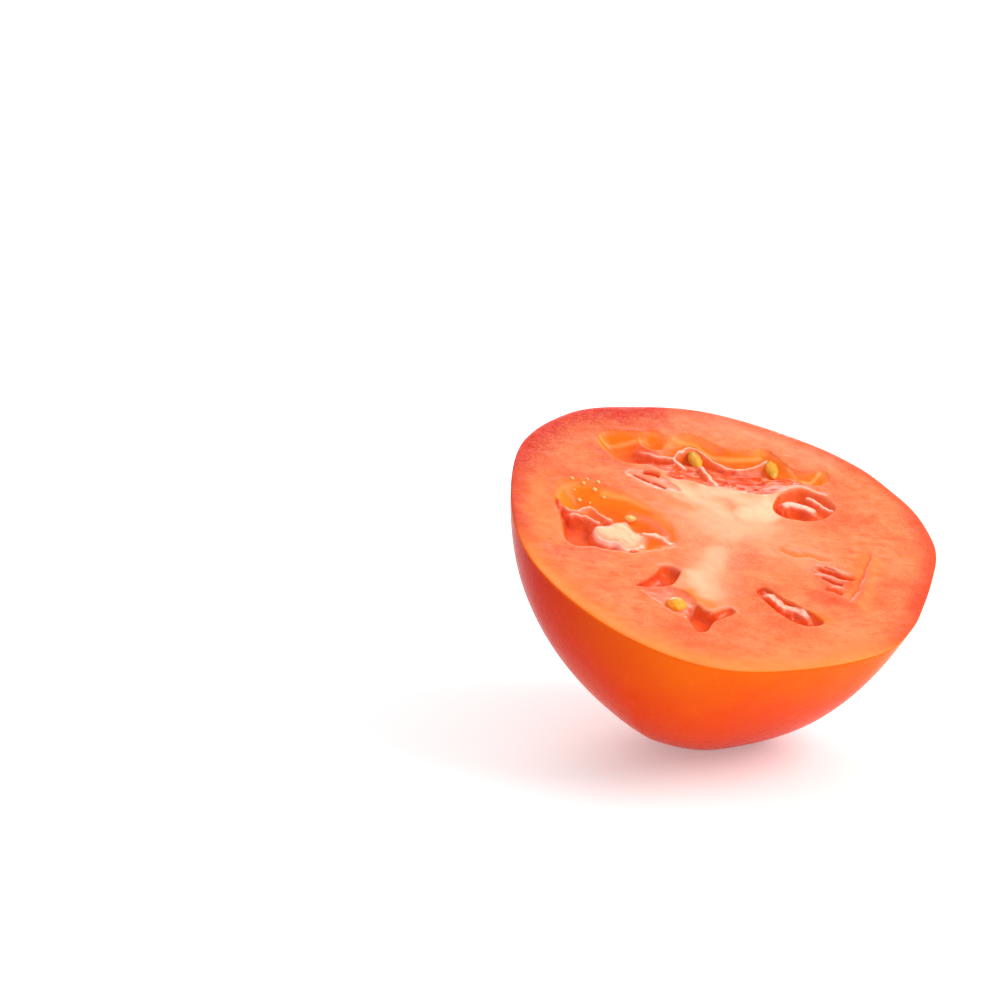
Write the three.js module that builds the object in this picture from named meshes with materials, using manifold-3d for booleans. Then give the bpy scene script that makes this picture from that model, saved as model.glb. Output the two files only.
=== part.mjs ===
// Half of a ripe chonto tomato, lying cut side up.
// Millimetres, +Z up. The origin is the centre of the small flat spot that it rests on.
//
// The fruit is shaped in the frame of its cut face: u runs to the right, v runs to the back and
// w stands out of the face. The rest pose then leans that face towards the viewer and to the right.

import * as THREE from 'three';
import { mergeVertices } from 'three/addons/utils/BufferGeometryUtils.js';
import Module from 'manifold-3d';

const manifold = await Module();
manifold.setup();

// Rest pose
const LEAN_FRONT = 21;
const LEAN_RIGHT = 9;
const FACE_ORIGIN = [1.1, -1.9, 30.2];

// Body: the rim of the cut, and the profile that runs from it down to the blossom end
const BODY_DEPTH = 31.2;
const RIM_CENTRE = [-0.5, 0.4];
const POLE_SHIFT = [2.4, -4.0];
const TAPER = 2;
const TAPER_SWING = 29;
const TAPER_HEADING = -23;
const PROFILE_POWER = 1.2;
const FURROWS = 5;
const FURROW_DEPTH = 0.35;
const RIM_STEPS = 3;
const PROFILE_STEPS = 18;
const REST_BLOCK = 80;

// Blossom scar: a small round dimple at the pole, which reaches up past the flat spot
const SCAR_RADIUS = 1.3;
const SCAR_HEIGHT = 1.0;

// How far a cutting shape stands above the face, and how deep raised shapes are rooted
const CUT_CLEARANCE = 1;
const ROOT_DEPTH = 0.8;

// Where the one bend of an eased edge lies, as a share of the ease
const EASE_BEND = 0.3;

// Depth of the middle of the bars that the ridges are made of
const RIDGE_AXIS_DEPTH = 3.1;

// Fineness of the faceted shapes
const CHAMBER_STEPS = 2;
const BAR_STEPS = 2;
const BAR_SIDES = 6;
const SEED_SIDES = 12;

const RIM = [
  [-30.8, 12.4], [-31.2, 6.2], [-30.8, 0.0], [-29.7, -5.6], [-27.6, -11.0], [-24.4, -15.9],
  [-20.3, -20.3], [-15.8, -24.0], [-10.5, -27.0], [-5.2, -28.9], [0.0, -29.5], [5.2, -28.8],
  [11.5, -26.7], [18.0, -23.6], [23.6, -19.4], [26.8, -13.9], [28.5, -8.2], [29.7, -2.7],
  [30.5, 3.0], [29.9, 7.4], [27.6, 13.0], [24.1, 17.5], [19.5, 22.0], [12.8, 25.8],
  [3.5, 28.9], [-4.6, 30.1], [-12.2, 29.1], [-20.9, 26.4], [-26.2, 22.0], [-29.4, 17.2],
];

// Seed chambers, each an outline on the cut face, its depth and how far its floor is eased in.
const CHAMBERS = [
  {
    // Back chamber, under its scalloped far wall
    depth: 3.0,
    ease: 0.8,
    outline: [
      [-18.9, 19.0], [-18.2, 21.2], [-15.5, 21.9], [-13.2, 22.2], [-10.9, 23.0], [-8.9, 21.9],
      [-6.6, 23.3], [-4.4, 23.2], [-2.3, 21.9], [-0.2, 21.1], [1.8, 21.6], [3.6, 21.8],
      [5.4, 22.6], [7.3, 21.0], [9.2, 18.9], [11.0, 18.3], [12.9, 18.8], [14.3, 19.4],
      [14.6, 17.2], [12.6, 16.2], [9.4, 16.8], [5.8, 16.6], [2.0, 16.0], [-2.0, 16.4],
      [-5.2, 16.8], [-8.5, 16.2], [-12.0, 15.2], [-15.2, 14.8], [-17.4, 16.8],
    ],
  },
  {
    // Seed bed that slopes up from the back chamber to the core
    depth: 1.2,
    ease: 0.7,
    outline: [
      [-13.6, 14.6], [-11.0, 17.2], [-6.0, 18.4], [0.0, 18.0], [6.0, 18.4], [11.0, 17.4],
      [12.2, 15.8], [9.6, 15.0], [8.0, 13.6], [6.2, 12.3], [3.4, 11.8], [0.0, 12.2],
      [-3.0, 12.6], [-5.5, 13.1], [-8.0, 12.6], [-10.6, 13.6],
    ],
  },
  {
    // Eye-shaped slot left of the core
    depth: 1.6,
    ease: 0.4,
    outline: [
      [-14.8, 12.0], [-13.6, 13.0], [-11.8, 12.9], [-9.8, 12.1], [-8.4, 10.8], [-8.4, 9.5],
      [-9.9, 9.2], [-11.8, 9.9], [-13.6, 10.9],
    ],
  },
  {
    // Lobe of the back chamber, right of the core
    depth: 2.2,
    ease: 0.6,
    outline: [
      [7.0, 10.8], [7.8, 12.5], [9.2, 13.7], [11.2, 14.3], [13.2, 13.9], [15.0, 12.7],
      [15.8, 11.0], [14.8, 9.7], [13.2, 8.4], [10.8, 7.6], [8.4, 7.8], [7.2, 9.0],
    ],
  },
  {
    // Left chamber
    depth: 2.6,
    ease: 0.7,
    outline: [
      [-24.4, 5.0], [-23.6, 7.0], [-21.5, 7.9], [-19.0, 7.5], [-16.0, 6.8], [-12.8, 5.3],
      [-10.6, 3.6], [-8.6, 1.6], [-7.3, -0.9], [-7.4, -3.2], [-9.6, -4.6], [-12.5, -5.7],
      [-15.8, -6.0], [-18.6, -5.7], [-21.6, -6.2], [-22.8, -4.0], [-23.4, 0.0], [-24.2, 2.6],
    ],
  },
  {
    // Upper pocket of the front left chamber
    depth: 2.0,
    ease: 0.4,
    outline: [
      [-12.6, -13.9], [-11.2, -12.2], [-9.9, -10.4], [-9.2, -8.7], [-7.7, -8.3], [-6.4, -8.9],
      [-6.5, -10.4], [-7.4, -12.4], [-9.0, -13.3], [-11.0, -13.8],
    ],
  },
  {
    // Shallow bed of the round seed, under a wet film
    depth: 0.9,
    ease: 0.3,
    outline: [
      [-11.8, -14.4], [-10.2, -13.6], [-8.0, -13.0], [-5.6, -13.6], [-4.0, -15.2], [-4.4, -17.0],
      [-5.8, -18.6], [-7.8, -18.4], [-9.0, -16.9], [-10.6, -15.7],
    ],
  },
  {
    // Lower pocket of the front left chamber, with its short arm to the right
    depth: 2.2,
    ease: 0.3,
    outline: [
      [-5.4, -18.4], [-4.9, -16.4], [-3.8, -16.0], [-2.7, -17.2], [-1.5, -17.5], [-0.5, -16.6],
      [0.9, -15.8], [1.5, -16.8], [0.1, -18.1], [-1.4, -19.4], [-2.3, -21.6], [-3.5, -22.2],
      [-4.4, -20.7],
    ],
  },
  {
    // Crescent at the front right
    depth: 2.2,
    ease: 0.4,
    outline: [
      [4.5, -11.1], [5.7, -10.0], [8.2, -11.7], [10.5, -13.1], [12.7, -14.4], [14.1, -15.9],
      [12.5, -17.1], [10.0, -16.9], [7.6, -15.1], [5.6, -12.8],
    ],
  },
];

// Slits of the small right chamber, and two folds in the flesh. Each is cut along its own line.
const SLITS = [
  { width: 0.9, depth: 1.2, line: [[13.2, -4.2], [15.4, -4.3], [17.6, -4.7], [19.4, -5.4]] },
  { width: 0.9, depth: 1.4, line: [[13.9, -5.8], [15.6, -6.0], [17.4, -6.4], [19.0, -7.2]] },
  { width: 1.0, depth: 1.2, line: [[14.7, -7.5], [16.0, -7.7], [17.2, -8.2], [18.2, -9.0]] },
  { width: 0.8, depth: 0.7, line: [[21.7, 2.4], [21.0, -0.7], [20.2, -4.2], [19.2, -8.0], [18.1, -10.3]] },
  { width: 1.0, depth: 0.5, line: [[7.9, -1.2], [9.6, -2.2], [12.0, -1.5], [14.6, -1.8], [16.3, -2.4]] },
];

// Islands of seed bed that stand in the chambers: outline, depth of the floor, depth of the top.
const ISLANDS = [
  {
    floor: 2.6,
    top: 0.3,
    ease: 0.6,
    outline: [
      [-18.4, -1.4], [-16.6, 0.0], [-14.5, 0.9], [-12.8, -0.5], [-11.5, -1.7], [-11.9, -3.9],
      [-13.4, -5.2], [-15.2, -4.3], [-16.9, -3.9], [-18.2, -3.0],
    ],
  },
];

// Ridges of gel and film in the chambers: a rounded bar along a line, by the depth of its crest.
const RIDGES = [
  {
    // Gel crest of the back chamber
    crest: 1.3,
    width: 1.3,
    line: [
      [-14.6, 18.9], [-11.6, 19.0], [-9.1, 18.6], [-7.7, 20.2], [-6.1, 22.0], [-4.0, 21.0],
      [-1.7, 19.3], [2.4, 19.1], [4.9, 21.3], [7.2, 22.0], [8.4, 19.8], [10.0, 18.0], [12.8, 17.6],
    ],
  },
  {
    // Film across the right lobe
    crest: 0.5,
    width: 1.1,
    line: [[6.6, 9.6], [9.1, 10.6], [10.9, 10.5], [13.2, 9.8], [15.6, 9.6]],
  },
  {
    // Fibre above that film
    crest: 0.7,
    width: 0.8,
    line: [[11.0, 12.8], [12.9, 12.4], [14.0, 11.3], [16.2, 10.8]],
  },
  {
    // Split middle of the eye-shaped slot
    crest: 0.5,
    width: 0.9,
    line: [[-15.2, 12.0], [-12.6, 11.4], [-10.4, 10.9], [-7.8, 10.4]],
  },
  {
    // Gel crest of the left chamber
    crest: 1.1,
    width: 1.2,
    line: [[-24.4, 2.4], [-21.8, 2.9], [-19.4, 3.0], [-17.2, 1.6], [-15.2, 0.6]],
  },
  {
    // Rim that joins the island to the core
    crest: 0.3,
    width: 0.9,
    line: [[-12.4, -1.2], [-10.4, -1.5], [-8.8, -2.3], [-6.9, -3.4]],
  },
];

// Seeds in their gel: centre on the face, depth of the centre, half sizes and heading of the tip.
const SEEDS = [
  { at: [-4.5, 19.4], depth: 1.9, half: [2.1, 1.2, 1.4], heading: -60 },
  { at: [7.0, 20.0], depth: 1.8, half: [2.2, 1.5, 1.5], heading: -60 },
  { at: [-14.0, 2.0], depth: 1.8, half: [1.3, 0.9, 1.3], heading: 15 },
  { at: [-6.8, -16.5], depth: 0.7, half: [1.5, 1.4, 0.8], heading: 0 },
];

const FLESH_AND_SKIN = new THREE.MeshStandardMaterial({
  color: 0xe8582c,
  roughness: 0.3,
  metalness: 0,
});

const POLE = [RIM_CENTRE[0] + POLE_SHIFT[0], RIM_CENTRE[1] + POLE_SHIFT[1], -BODY_DEPTH];

const rad = THREE.MathUtils.degToRad;

// Points of a smooth closed outline through hand-placed corners.
function smoothOutline(corners, steps) {
  const knots = corners.map(([u, v]) => new THREE.Vector3(u, v, 0));
  const curve = new THREE.CatmullRomCurve3(knots, true, 'catmullrom', 0.5);
  return curve.getPoints(corners.length * steps).slice(0, -1);
}

// A closed body for joining and cutting, from any closed three.js geometry.
function solid(geometry) {
  const bare = new THREE.BufferGeometry();
  bare.setAttribute('position', geometry.getAttribute('position'));
  bare.setIndex(geometry.getIndex());
  const merged = mergeVertices(bare, 1e-4);
  return new manifold.Manifold(new manifold.Mesh({
    numProp: 3,
    vertProperties: new Float32Array(merged.getAttribute('position').array),
    triVerts: new Uint32Array(merged.getIndex().array),
  }));
}

// The body under the rim. Down each meridian the radius falls as a power of a cosine, the pole is
// moved off the rim's centre, and one side leaves the rim more steeply than the other.
function bodyGeometry() {
  const rim = smoothOutline(RIM, RIM_STEPS);
  const positions = [];
  for (let ring = 0; ring < PROFILE_STEPS; ring++) {
    const along = ring / PROFILE_STEPS;
    for (const point of rim) {
      const du = point.x - RIM_CENTRE[0];
      const dv = point.y - RIM_CENTRE[1];
      const heading = Math.atan2(dv, du);
      const swing = TAPER_SWING * Math.cos(heading - rad(TAPER_HEADING));
      const start = rad(Math.max(TAPER + swing, 0));
      const slope = start + (Math.PI / 2 - start) * along;
      const fall = (Math.sin(slope) - Math.sin(start)) / (1 - Math.sin(start));
      const shrink = Math.pow(Math.cos(slope) / Math.cos(start), PROFILE_POWER);
      const furrow = FURROW_DEPTH * Math.sin(Math.PI * fall) * (1 + Math.cos(FURROWS * heading)) / 2;
      const reach = shrink * (1 - furrow / Math.hypot(du, dv));
      positions.push(
        RIM_CENTRE[0] + du * reach + POLE_SHIFT[0] * fall,
        RIM_CENTRE[1] + dv * reach + POLE_SHIFT[1] * fall,
        -BODY_DEPTH * fall,
      );
    }
  }
  const pole = positions.length / 3;
  positions.push(...POLE);
  const middle = pole + 1;
  positions.push(RIM_CENTRE[0], RIM_CENTRE[1], 0);

  const index = [];
  const count = rim.length;
  for (let i = 0; i < count; i++) {
    const next = (i + 1) % count;
    index.push(middle, i, next);
    for (let ring = 0; ring < PROFILE_STEPS - 1; ring++) {
      const here = ring * count;
      const below = here + count;
      index.push(here + i, below + i, below + next);
      index.push(here + i, below + next, here + next);
    }
    const last = (PROFILE_STEPS - 1) * count;
    index.push(last + i, pole, last + next);
  }
  const geometry = new THREE.BufferGeometry();
  geometry.setAttribute('position', new THREE.Float32BufferAttribute(positions, 3));
  geometry.setIndex(index);
  return geometry;
}

// An upright block over an outline. Each layer is a height and how far the outline is drawn in there.
function block(corners, layers) {
  const outline = smoothOutline(corners, CHAMBER_STEPS);
  if (THREE.ShapeUtils.area(outline) < 0) {
    outline.reverse();
  }
  const count = outline.length;
  const inward = outline.map((point, i) => {
    const along = outline[(i + 1) % count].clone().sub(outline[(i + count - 1) % count]).normalize();
    return new THREE.Vector3(-along.y, along.x, 0);
  });
  const positions = [];
  for (const [height, inset] of layers) {
    outline.forEach((point, i) => {
      positions.push(point.x + inward[i].x * inset, point.y + inward[i].y * inset, height);
    });
  }
  const index = [];
  const top = (layers.length - 1) * count;
  for (const [i, j, k] of THREE.ShapeUtils.triangulateShape(outline, [])) {
    index.push(i, k, j);
    index.push(top + i, top + j, top + k);
  }
  for (let low = 0; low < top; low += count) {
    for (let i = 0; i < count; i++) {
      const next = (i + 1) % count;
      index.push(low + i, low + next, low + count + next);
      index.push(low + i, low + count + next, low + count + i);
    }
  }
  const geometry = new THREE.BufferGeometry();
  geometry.setAttribute('position', new THREE.Float32BufferAttribute(positions, 3));
  geometry.setIndex(index);
  return geometry;
}

// A rounded bar of the given width that follows a line on the face, centred on one height.
function bar(line, width, tall, height) {
  const section = new THREE.Shape();
  section.absellipse(0, 0, tall / 2, width / 2, 0, 2 * Math.PI, false, 0);
  const knots = line.map(([u, v]) => new THREE.Vector3(u, v, height));
  return new THREE.ExtrudeGeometry(section, {
    steps: (line.length - 1) * BAR_STEPS,
    curveSegments: BAR_SIDES,
    extrudePath: new THREE.CatmullRomCurve3(knots, false, 'catmullrom', 0.5),
  });
}

function chamber({ outline, depth, ease }) {
  return solid(block(outline, [
    [-depth, ease],
    [-depth + EASE_BEND * ease, EASE_BEND * ease],
    [-depth + ease, 0],
    [CUT_CLEARANCE, 0],
  ]));
}

function slit({ line, width, depth }) {
  return solid(bar(line, width, 2 * depth, 0));
}

function island({ outline, floor, top, ease }) {
  return solid(block(outline, [
    [-floor - ROOT_DEPTH, 0],
    [-top - ease, 0],
    [-top - EASE_BEND * ease, EASE_BEND * ease],
    [-top, ease],
  ]));
}

function ridge({ line, width, crest }) {
  const tall = 2 * (RIDGE_AXIS_DEPTH - crest);
  return solid(bar(line, width, tall, -RIDGE_AXIS_DEPTH));
}

function seed({ at, depth, half, heading }) {
  const geometry = new THREE.SphereGeometry(1, SEED_SIDES, SEED_SIDES / 2);
  geometry.scale(half[0], half[1], half[2]);
  geometry.rotateZ(rad(heading));
  geometry.translate(at[0], at[1], -depth);
  return solid(geometry);
}

const restPose = new THREE.Group();
restPose.rotation.set(rad(LEAN_FRONT), rad(LEAN_RIGHT), 0, 'YXZ');
restPose.position.set(...FACE_ORIGIN);
restPose.updateMatrix();

// Everything below the surface that the fruit lies on, seen from the frame of the cut face.
function groundBlock() {
  const geometry = new THREE.BoxGeometry(REST_BLOCK, REST_BLOCK, REST_BLOCK);
  geometry.translate(0, 0, -REST_BLOCK / 2);
  geometry.applyMatrix4(restPose.matrix.clone().invert());
  return solid(geometry);
}

function blossomScar() {
  const geometry = new THREE.SphereGeometry(1, SEED_SIDES, SEED_SIDES);
  geometry.scale(SCAR_RADIUS, SCAR_RADIUS, SCAR_HEIGHT);
  geometry.translate(...POLE);
  return solid(geometry);
}

function tomatoHalf() {
  let half = solid(bodyGeometry());
  const hollows = [...CHAMBERS.map(chamber), ...SLITS.map(slit)];
  for (const body of hollows) {
    half = half.subtract(body);
  }
  const raised = [...ISLANDS.map(island), ...RIDGES.map(ridge), ...SEEDS.map(seed)];
  for (const body of raised) {
    half = half.add(body);
  }
  half = half.subtract(groundBlock()).subtract(blossomScar());

  const { vertProperties, triVerts } = half.getMesh();
  const geometry = new THREE.BufferGeometry();
  geometry.setAttribute('position', new THREE.BufferAttribute(vertProperties, 3));
  geometry.setIndex(new THREE.BufferAttribute(triVerts, 1));
  geometry.computeVertexNormals();
  const mesh = new THREE.Mesh(geometry, FLESH_AND_SKIN);
  mesh.name = 'tomato_half';
  return mesh;
}

restPose.add(tomatoHalf());

const part = new THREE.Group();
part.add(restPose);

export default part;
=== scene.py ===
"""Half of a ripe chonto tomato, lying cut side up, dressed for a picture in a white studio.

The fruit is shaped in the frame of its cut face, in millimetres: u runs to the right, v to the back
and w stands out of the face. The rest pose leans that face towards the viewer and to the right.
"""

import logging
import math
from dataclasses import dataclass, field
from enum import Enum

import bpy
import numpy as np
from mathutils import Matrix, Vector
from mathutils.geometry import delaunay_2d_cdt


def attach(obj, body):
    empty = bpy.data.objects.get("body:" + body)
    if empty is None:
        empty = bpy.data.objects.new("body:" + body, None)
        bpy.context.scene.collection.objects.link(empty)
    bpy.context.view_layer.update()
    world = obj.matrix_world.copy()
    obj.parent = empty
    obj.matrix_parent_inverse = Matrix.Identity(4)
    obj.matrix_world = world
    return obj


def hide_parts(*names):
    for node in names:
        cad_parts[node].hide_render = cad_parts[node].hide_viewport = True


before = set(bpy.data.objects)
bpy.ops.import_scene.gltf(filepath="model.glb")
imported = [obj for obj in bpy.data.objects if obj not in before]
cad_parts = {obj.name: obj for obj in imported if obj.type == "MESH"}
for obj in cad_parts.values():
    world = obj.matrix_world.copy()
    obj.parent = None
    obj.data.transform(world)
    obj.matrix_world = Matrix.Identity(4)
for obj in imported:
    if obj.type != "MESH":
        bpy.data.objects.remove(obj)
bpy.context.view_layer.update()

logging.basicConfig(level=logging.INFO, format="%(message)s")
LOG = logging.getLogger("tomato")

Colour = tuple[float, float, float]
Point = tuple[float, float]
Socket = bpy.types.NodeSocket
Value = Socket | Colour | float

MM = 0.001
NODE = "tomato_half"

# Random values on each side of the grid that the lumps are read from
GRID = 256
# Places that a curve measures at a time, and the distance given to those out of its reach
BATCH = 4096
FAR_OFF = 1e3
# How far from the wall of a chamber its colours can show
WALL_REACH = 4.5
# What the triangulation keeps, and the distance at which it merges points
INSIDE_ONLY = 1
MERGED = 1e-7
# Middle of the fruit in metres, which the lamps look at
AIM = (0.0, 0.0, 0.02)

# Rest pose and body, the same measures as the solid model
LEAN_FRONT = 21.0
LEAN_RIGHT = 9.0
FACE_ORIGIN = (1.1, -1.9, 30.2)
RIM: list[Point] = [
    (-30.8, 12.4), (-31.2, 6.2), (-30.8, 0.0), (-29.7, -5.6), (-27.6, -11.0), (-24.4, -15.9),
    (-20.3, -20.3), (-15.8, -24.0), (-10.5, -27.0), (-5.2, -28.9), (0.0, -29.5), (5.2, -28.8),
    (11.5, -26.7), (18.0, -23.6), (23.6, -19.4), (26.8, -13.9), (28.5, -8.2), (29.7, -2.7),
    (30.5, 3.0), (29.9, 7.4), (27.6, 13.0), (24.1, 17.5), (19.5, 22.0), (12.8, 25.8),
    (3.5, 28.9), (-4.6, 30.1), (-12.2, 29.1), (-20.9, 26.4), (-26.2, 22.0), (-29.4, 17.2),
]


class Mask(Enum):
    """Values that the mesh carries at each vertex for the materials."""

    CORE = "core"
    RIM = "rim"
    BLUSH = "blush"
    # Painted light: pale highlights along lips and a crease, and glow through the flesh near the rim.
    LIGHT = "light"
    DEEP = "deep"
    # Painted glow of the walls that light shines through, and painted orange shade.
    PAINTED_GLOW_AND_SHADE = "amber"
    # Pale wet film, with painted highlights along crests, lips and edges.
    FILM_AND_HIGHLIGHT = "film"
    # Mottled seed bed, whose pink streaks are partly painted reflection.
    MOTTLE_AND_REFLECTION = "mottle"
    TONE = "tone"
    # Painted red reflection and shade on one side of the skin.
    SIDE = "side"


def soft(value: np.ndarray) -> np.ndarray:
    """Ease a value between 0 and 1 at both ends."""
    clipped = np.clip(value, 0.0, 1.0)
    return clipped * clipped * (3.0 - 2.0 * clipped)


def bell(distance: np.ndarray, width: float) -> np.ndarray:
    """Give 1 on a line and fall off to both sides over a width."""
    return np.exp(-((distance / width) ** 2))


class Lumps(Enum):
    """Smooth random lumps over the face.

    Each has its size in millimetres, its seed and, where it isn't round, its squeeze in u and v.
    """

    FLESH = (0.9, 1)
    SWELL = (3.5, 2)
    RIM = (4.0, 3)
    RIPPLE = (1.15, 17, (1.0, 2.1))
    BED = (1.5, 18)
    FINE_RIPPLE = (0.55, 19, (1.0, 1.4))
    WALL = (1.1, 31)
    SHEET = (0.9, 33, (0.7, 1.6))
    LIP = (1.6, 34)
    ZONE = (2.6, 35, (0.8, 1.2))
    LIT = (2.4, 36)
    RIDGE_LINE = (0.9, 41)
    CREST = (0.8, 43)
    STREAK = (1.0, 44, (1.5, 0.6))
    ISLAND_EDGE = (1.3, 51)
    ISLAND_TOP = (0.7, 53)
    PATCH_BROAD = (3.2, 61)
    PATCH_FINE = (1.1, 63)
    FOLD_LINE = (0.8, 71)

    def __init__(self, size: float, seed: int, squeeze: Point = (1.0, 1.0)) -> None:
        """Keep the measures of the lumps."""
        self.size = size
        self.seed = seed
        self.squeeze = squeeze

    def at(self, places: np.ndarray, later: int = 0) -> np.ndarray:
        """Read the lumps.

        Args:
            places: Places on the face, one row each.
            later: How much is added to the seed, for a second draw.

        Returns:
            A value between -1 and 1 for each place.
        """
        values = np.random.default_rng(self.seed + later).uniform(-1.0, 1.0, (GRID, GRID))
        place = places * self.squeeze / self.size + GRID / 2
        corner = np.floor(place).astype(int)
        part = soft(place - corner)
        x0, y0 = corner[:, 0] % GRID, corner[:, 1] % GRID
        x1, y1 = (x0 + 1) % GRID, (y0 + 1) % GRID
        low = values[x0, y0] * (1 - part[:, 0]) + values[x1, y0] * part[:, 0]
        high = values[x0, y1] * (1 - part[:, 0]) + values[x1, y1] * part[:, 0]
        return low * (1 - part[:, 1]) + high * part[:, 1]

    def shift(self, places: np.ndarray) -> np.ndarray:
        """Draw a shift in u and v for each place, between -1 and 1."""
        return np.stack([self.at(places), self.at(places, 1)], 1)


def smooth_line(corners: list[Point], closed: bool, steps: int) -> np.ndarray:
    """Run a smooth curve through given corners.

    Args:
        corners: The corners in order.
        closed: Whether the curve comes back to its start.
        steps: Points for each corner.

    Returns:
        The points of the curve, one row each.
    """
    knots = np.array(corners, dtype=float)
    if closed:
        knots = np.vstack([knots[-1:], knots, knots[:2]])
    else:
        knots = np.vstack([2 * knots[0] - knots[1], knots, 2 * knots[-1] - knots[-2]])
    t = (np.arange(steps) / steps)[:, None]
    spans = []
    for a, b, c, d in zip(knots[:-3], knots[1:-2], knots[2:-1], knots[3:]):
        bend = 2 * a - 5 * b + 4 * c - d
        spans.append(0.5 * (2 * b + (c - a) * t + bend * t**2 + (3 * b - a - 3 * c + d) * t**3))
    line = np.vstack(spans)
    return line if closed else np.vstack([line, knots[-2:-1]])


class Curve:
    """A smooth line on the face that answers how far places lie from it."""

    def __init__(self, corners: list[Point], closed: bool = False, steps: int = 4) -> None:
        """Keep the points of the curve and its straight pieces."""
        self.closed = closed
        self.points = smooth_line(corners, closed, steps)
        self.starts = self.points if closed else self.points[:-1]
        self.ends = np.roll(self.points, -1, axis=0) if closed else self.points[1:]

    def nearest(
        self, places: np.ndarray, reach: float, pick: np.ndarray | None = None
    ) -> tuple[np.ndarray, np.ndarray, np.ndarray]:
        """Measure from each place to the nearest point of the curve.

        Args:
            places: Places on the face, one row each.
            reach: How far around the curve is measured. Places beyond it count as far away.
            pick: Which pieces of the curve count, or all of them.

        Returns:
            The distance, the side (positive on the left of the line) and how far along it is, 0 to 1.
        """
        starts = self.starts if pick is None else self.starts[pick]
        ends = self.ends if pick is None else self.ends[pick]
        distance = np.full(len(places), FAR_OFF)
        side = np.ones(len(places))
        along = np.zeros(len(places))
        if len(starts) == 0:
            return distance, side, along
        run = ends - starts
        length = np.maximum((run**2).sum(1), 1e-9)
        low = np.minimum(starts, ends).min(0) - reach
        high = np.maximum(starts, ends).max(0) + reach
        around = np.flatnonzero(((places > low) & (places < high)).all(1))
        for first in range(0, len(around), BATCH):
            rows = around[first:first + BATCH]
            gap = places[rows, None, :] - starts[None]
            share = np.clip((gap * run).sum(2) / length, 0.0, 1.0)
            square = ((gap - share[..., None] * run) ** 2).sum(2)
            best = square.argmin(1)
            row = np.arange(len(best))
            distance[rows] = np.sqrt(square[row, best])
            cross = run[best, 0] * gap[row, best, 1] - run[best, 1] * gap[row, best, 0]
            side[rows] = np.where(cross >= 0, 1.0, -1.0)
            along[rows] = (best + share[row, best]) / len(starts)
        return distance, side, along

    def contains(self, places: np.ndarray) -> np.ndarray:
        """Tell which places lie inside the closed curve."""
        inside = np.zeros(len(places), dtype=bool)
        for (x0, y0), (x1, y1) in zip(self.starts, self.ends):
            if y0 == y1:
                continue
            span = (y0 > places[:, 1]) != (y1 > places[:, 1])
            cross = (x1 - x0) * (places[:, 1] - y0) / (y1 - y0) + x0
            inside ^= span & (places[:, 0] < cross)
        return inside

    def covers(self, places: np.ndarray, margin: float) -> np.ndarray:
        """Tell which places lie within a margin of the curve, or inside it where it is closed."""
        close = self.nearest(places, margin + 0.1)[0] < margin
        return close | self.contains(places) if self.closed else close


@dataclass
class Relief:
    """The height of the face and its masks while the features are laid over it."""

    places: np.ndarray
    height: np.ndarray
    masks: dict[Mask, np.ndarray]

    def raise_mask(self, mask: Mask, value: np.ndarray) -> None:
        """Lift a mask to at least the given value."""
        self.masks[mask] = np.maximum(self.masks[mask], value)

    def raise_inside(self, mask: Mask, inside: np.ndarray, value: np.ndarray) -> None:
        """Lift a mask inside an outline alone."""
        self.raise_mask(mask, np.where(inside, value, 0.0))

    def lower_mask(self, mask: Mask, value: np.ndarray) -> None:
        """Take a share of a mask away."""
        self.masks[mask] = self.masks[mask] * (1.0 - np.clip(value, 0.0, 1.0))


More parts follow.
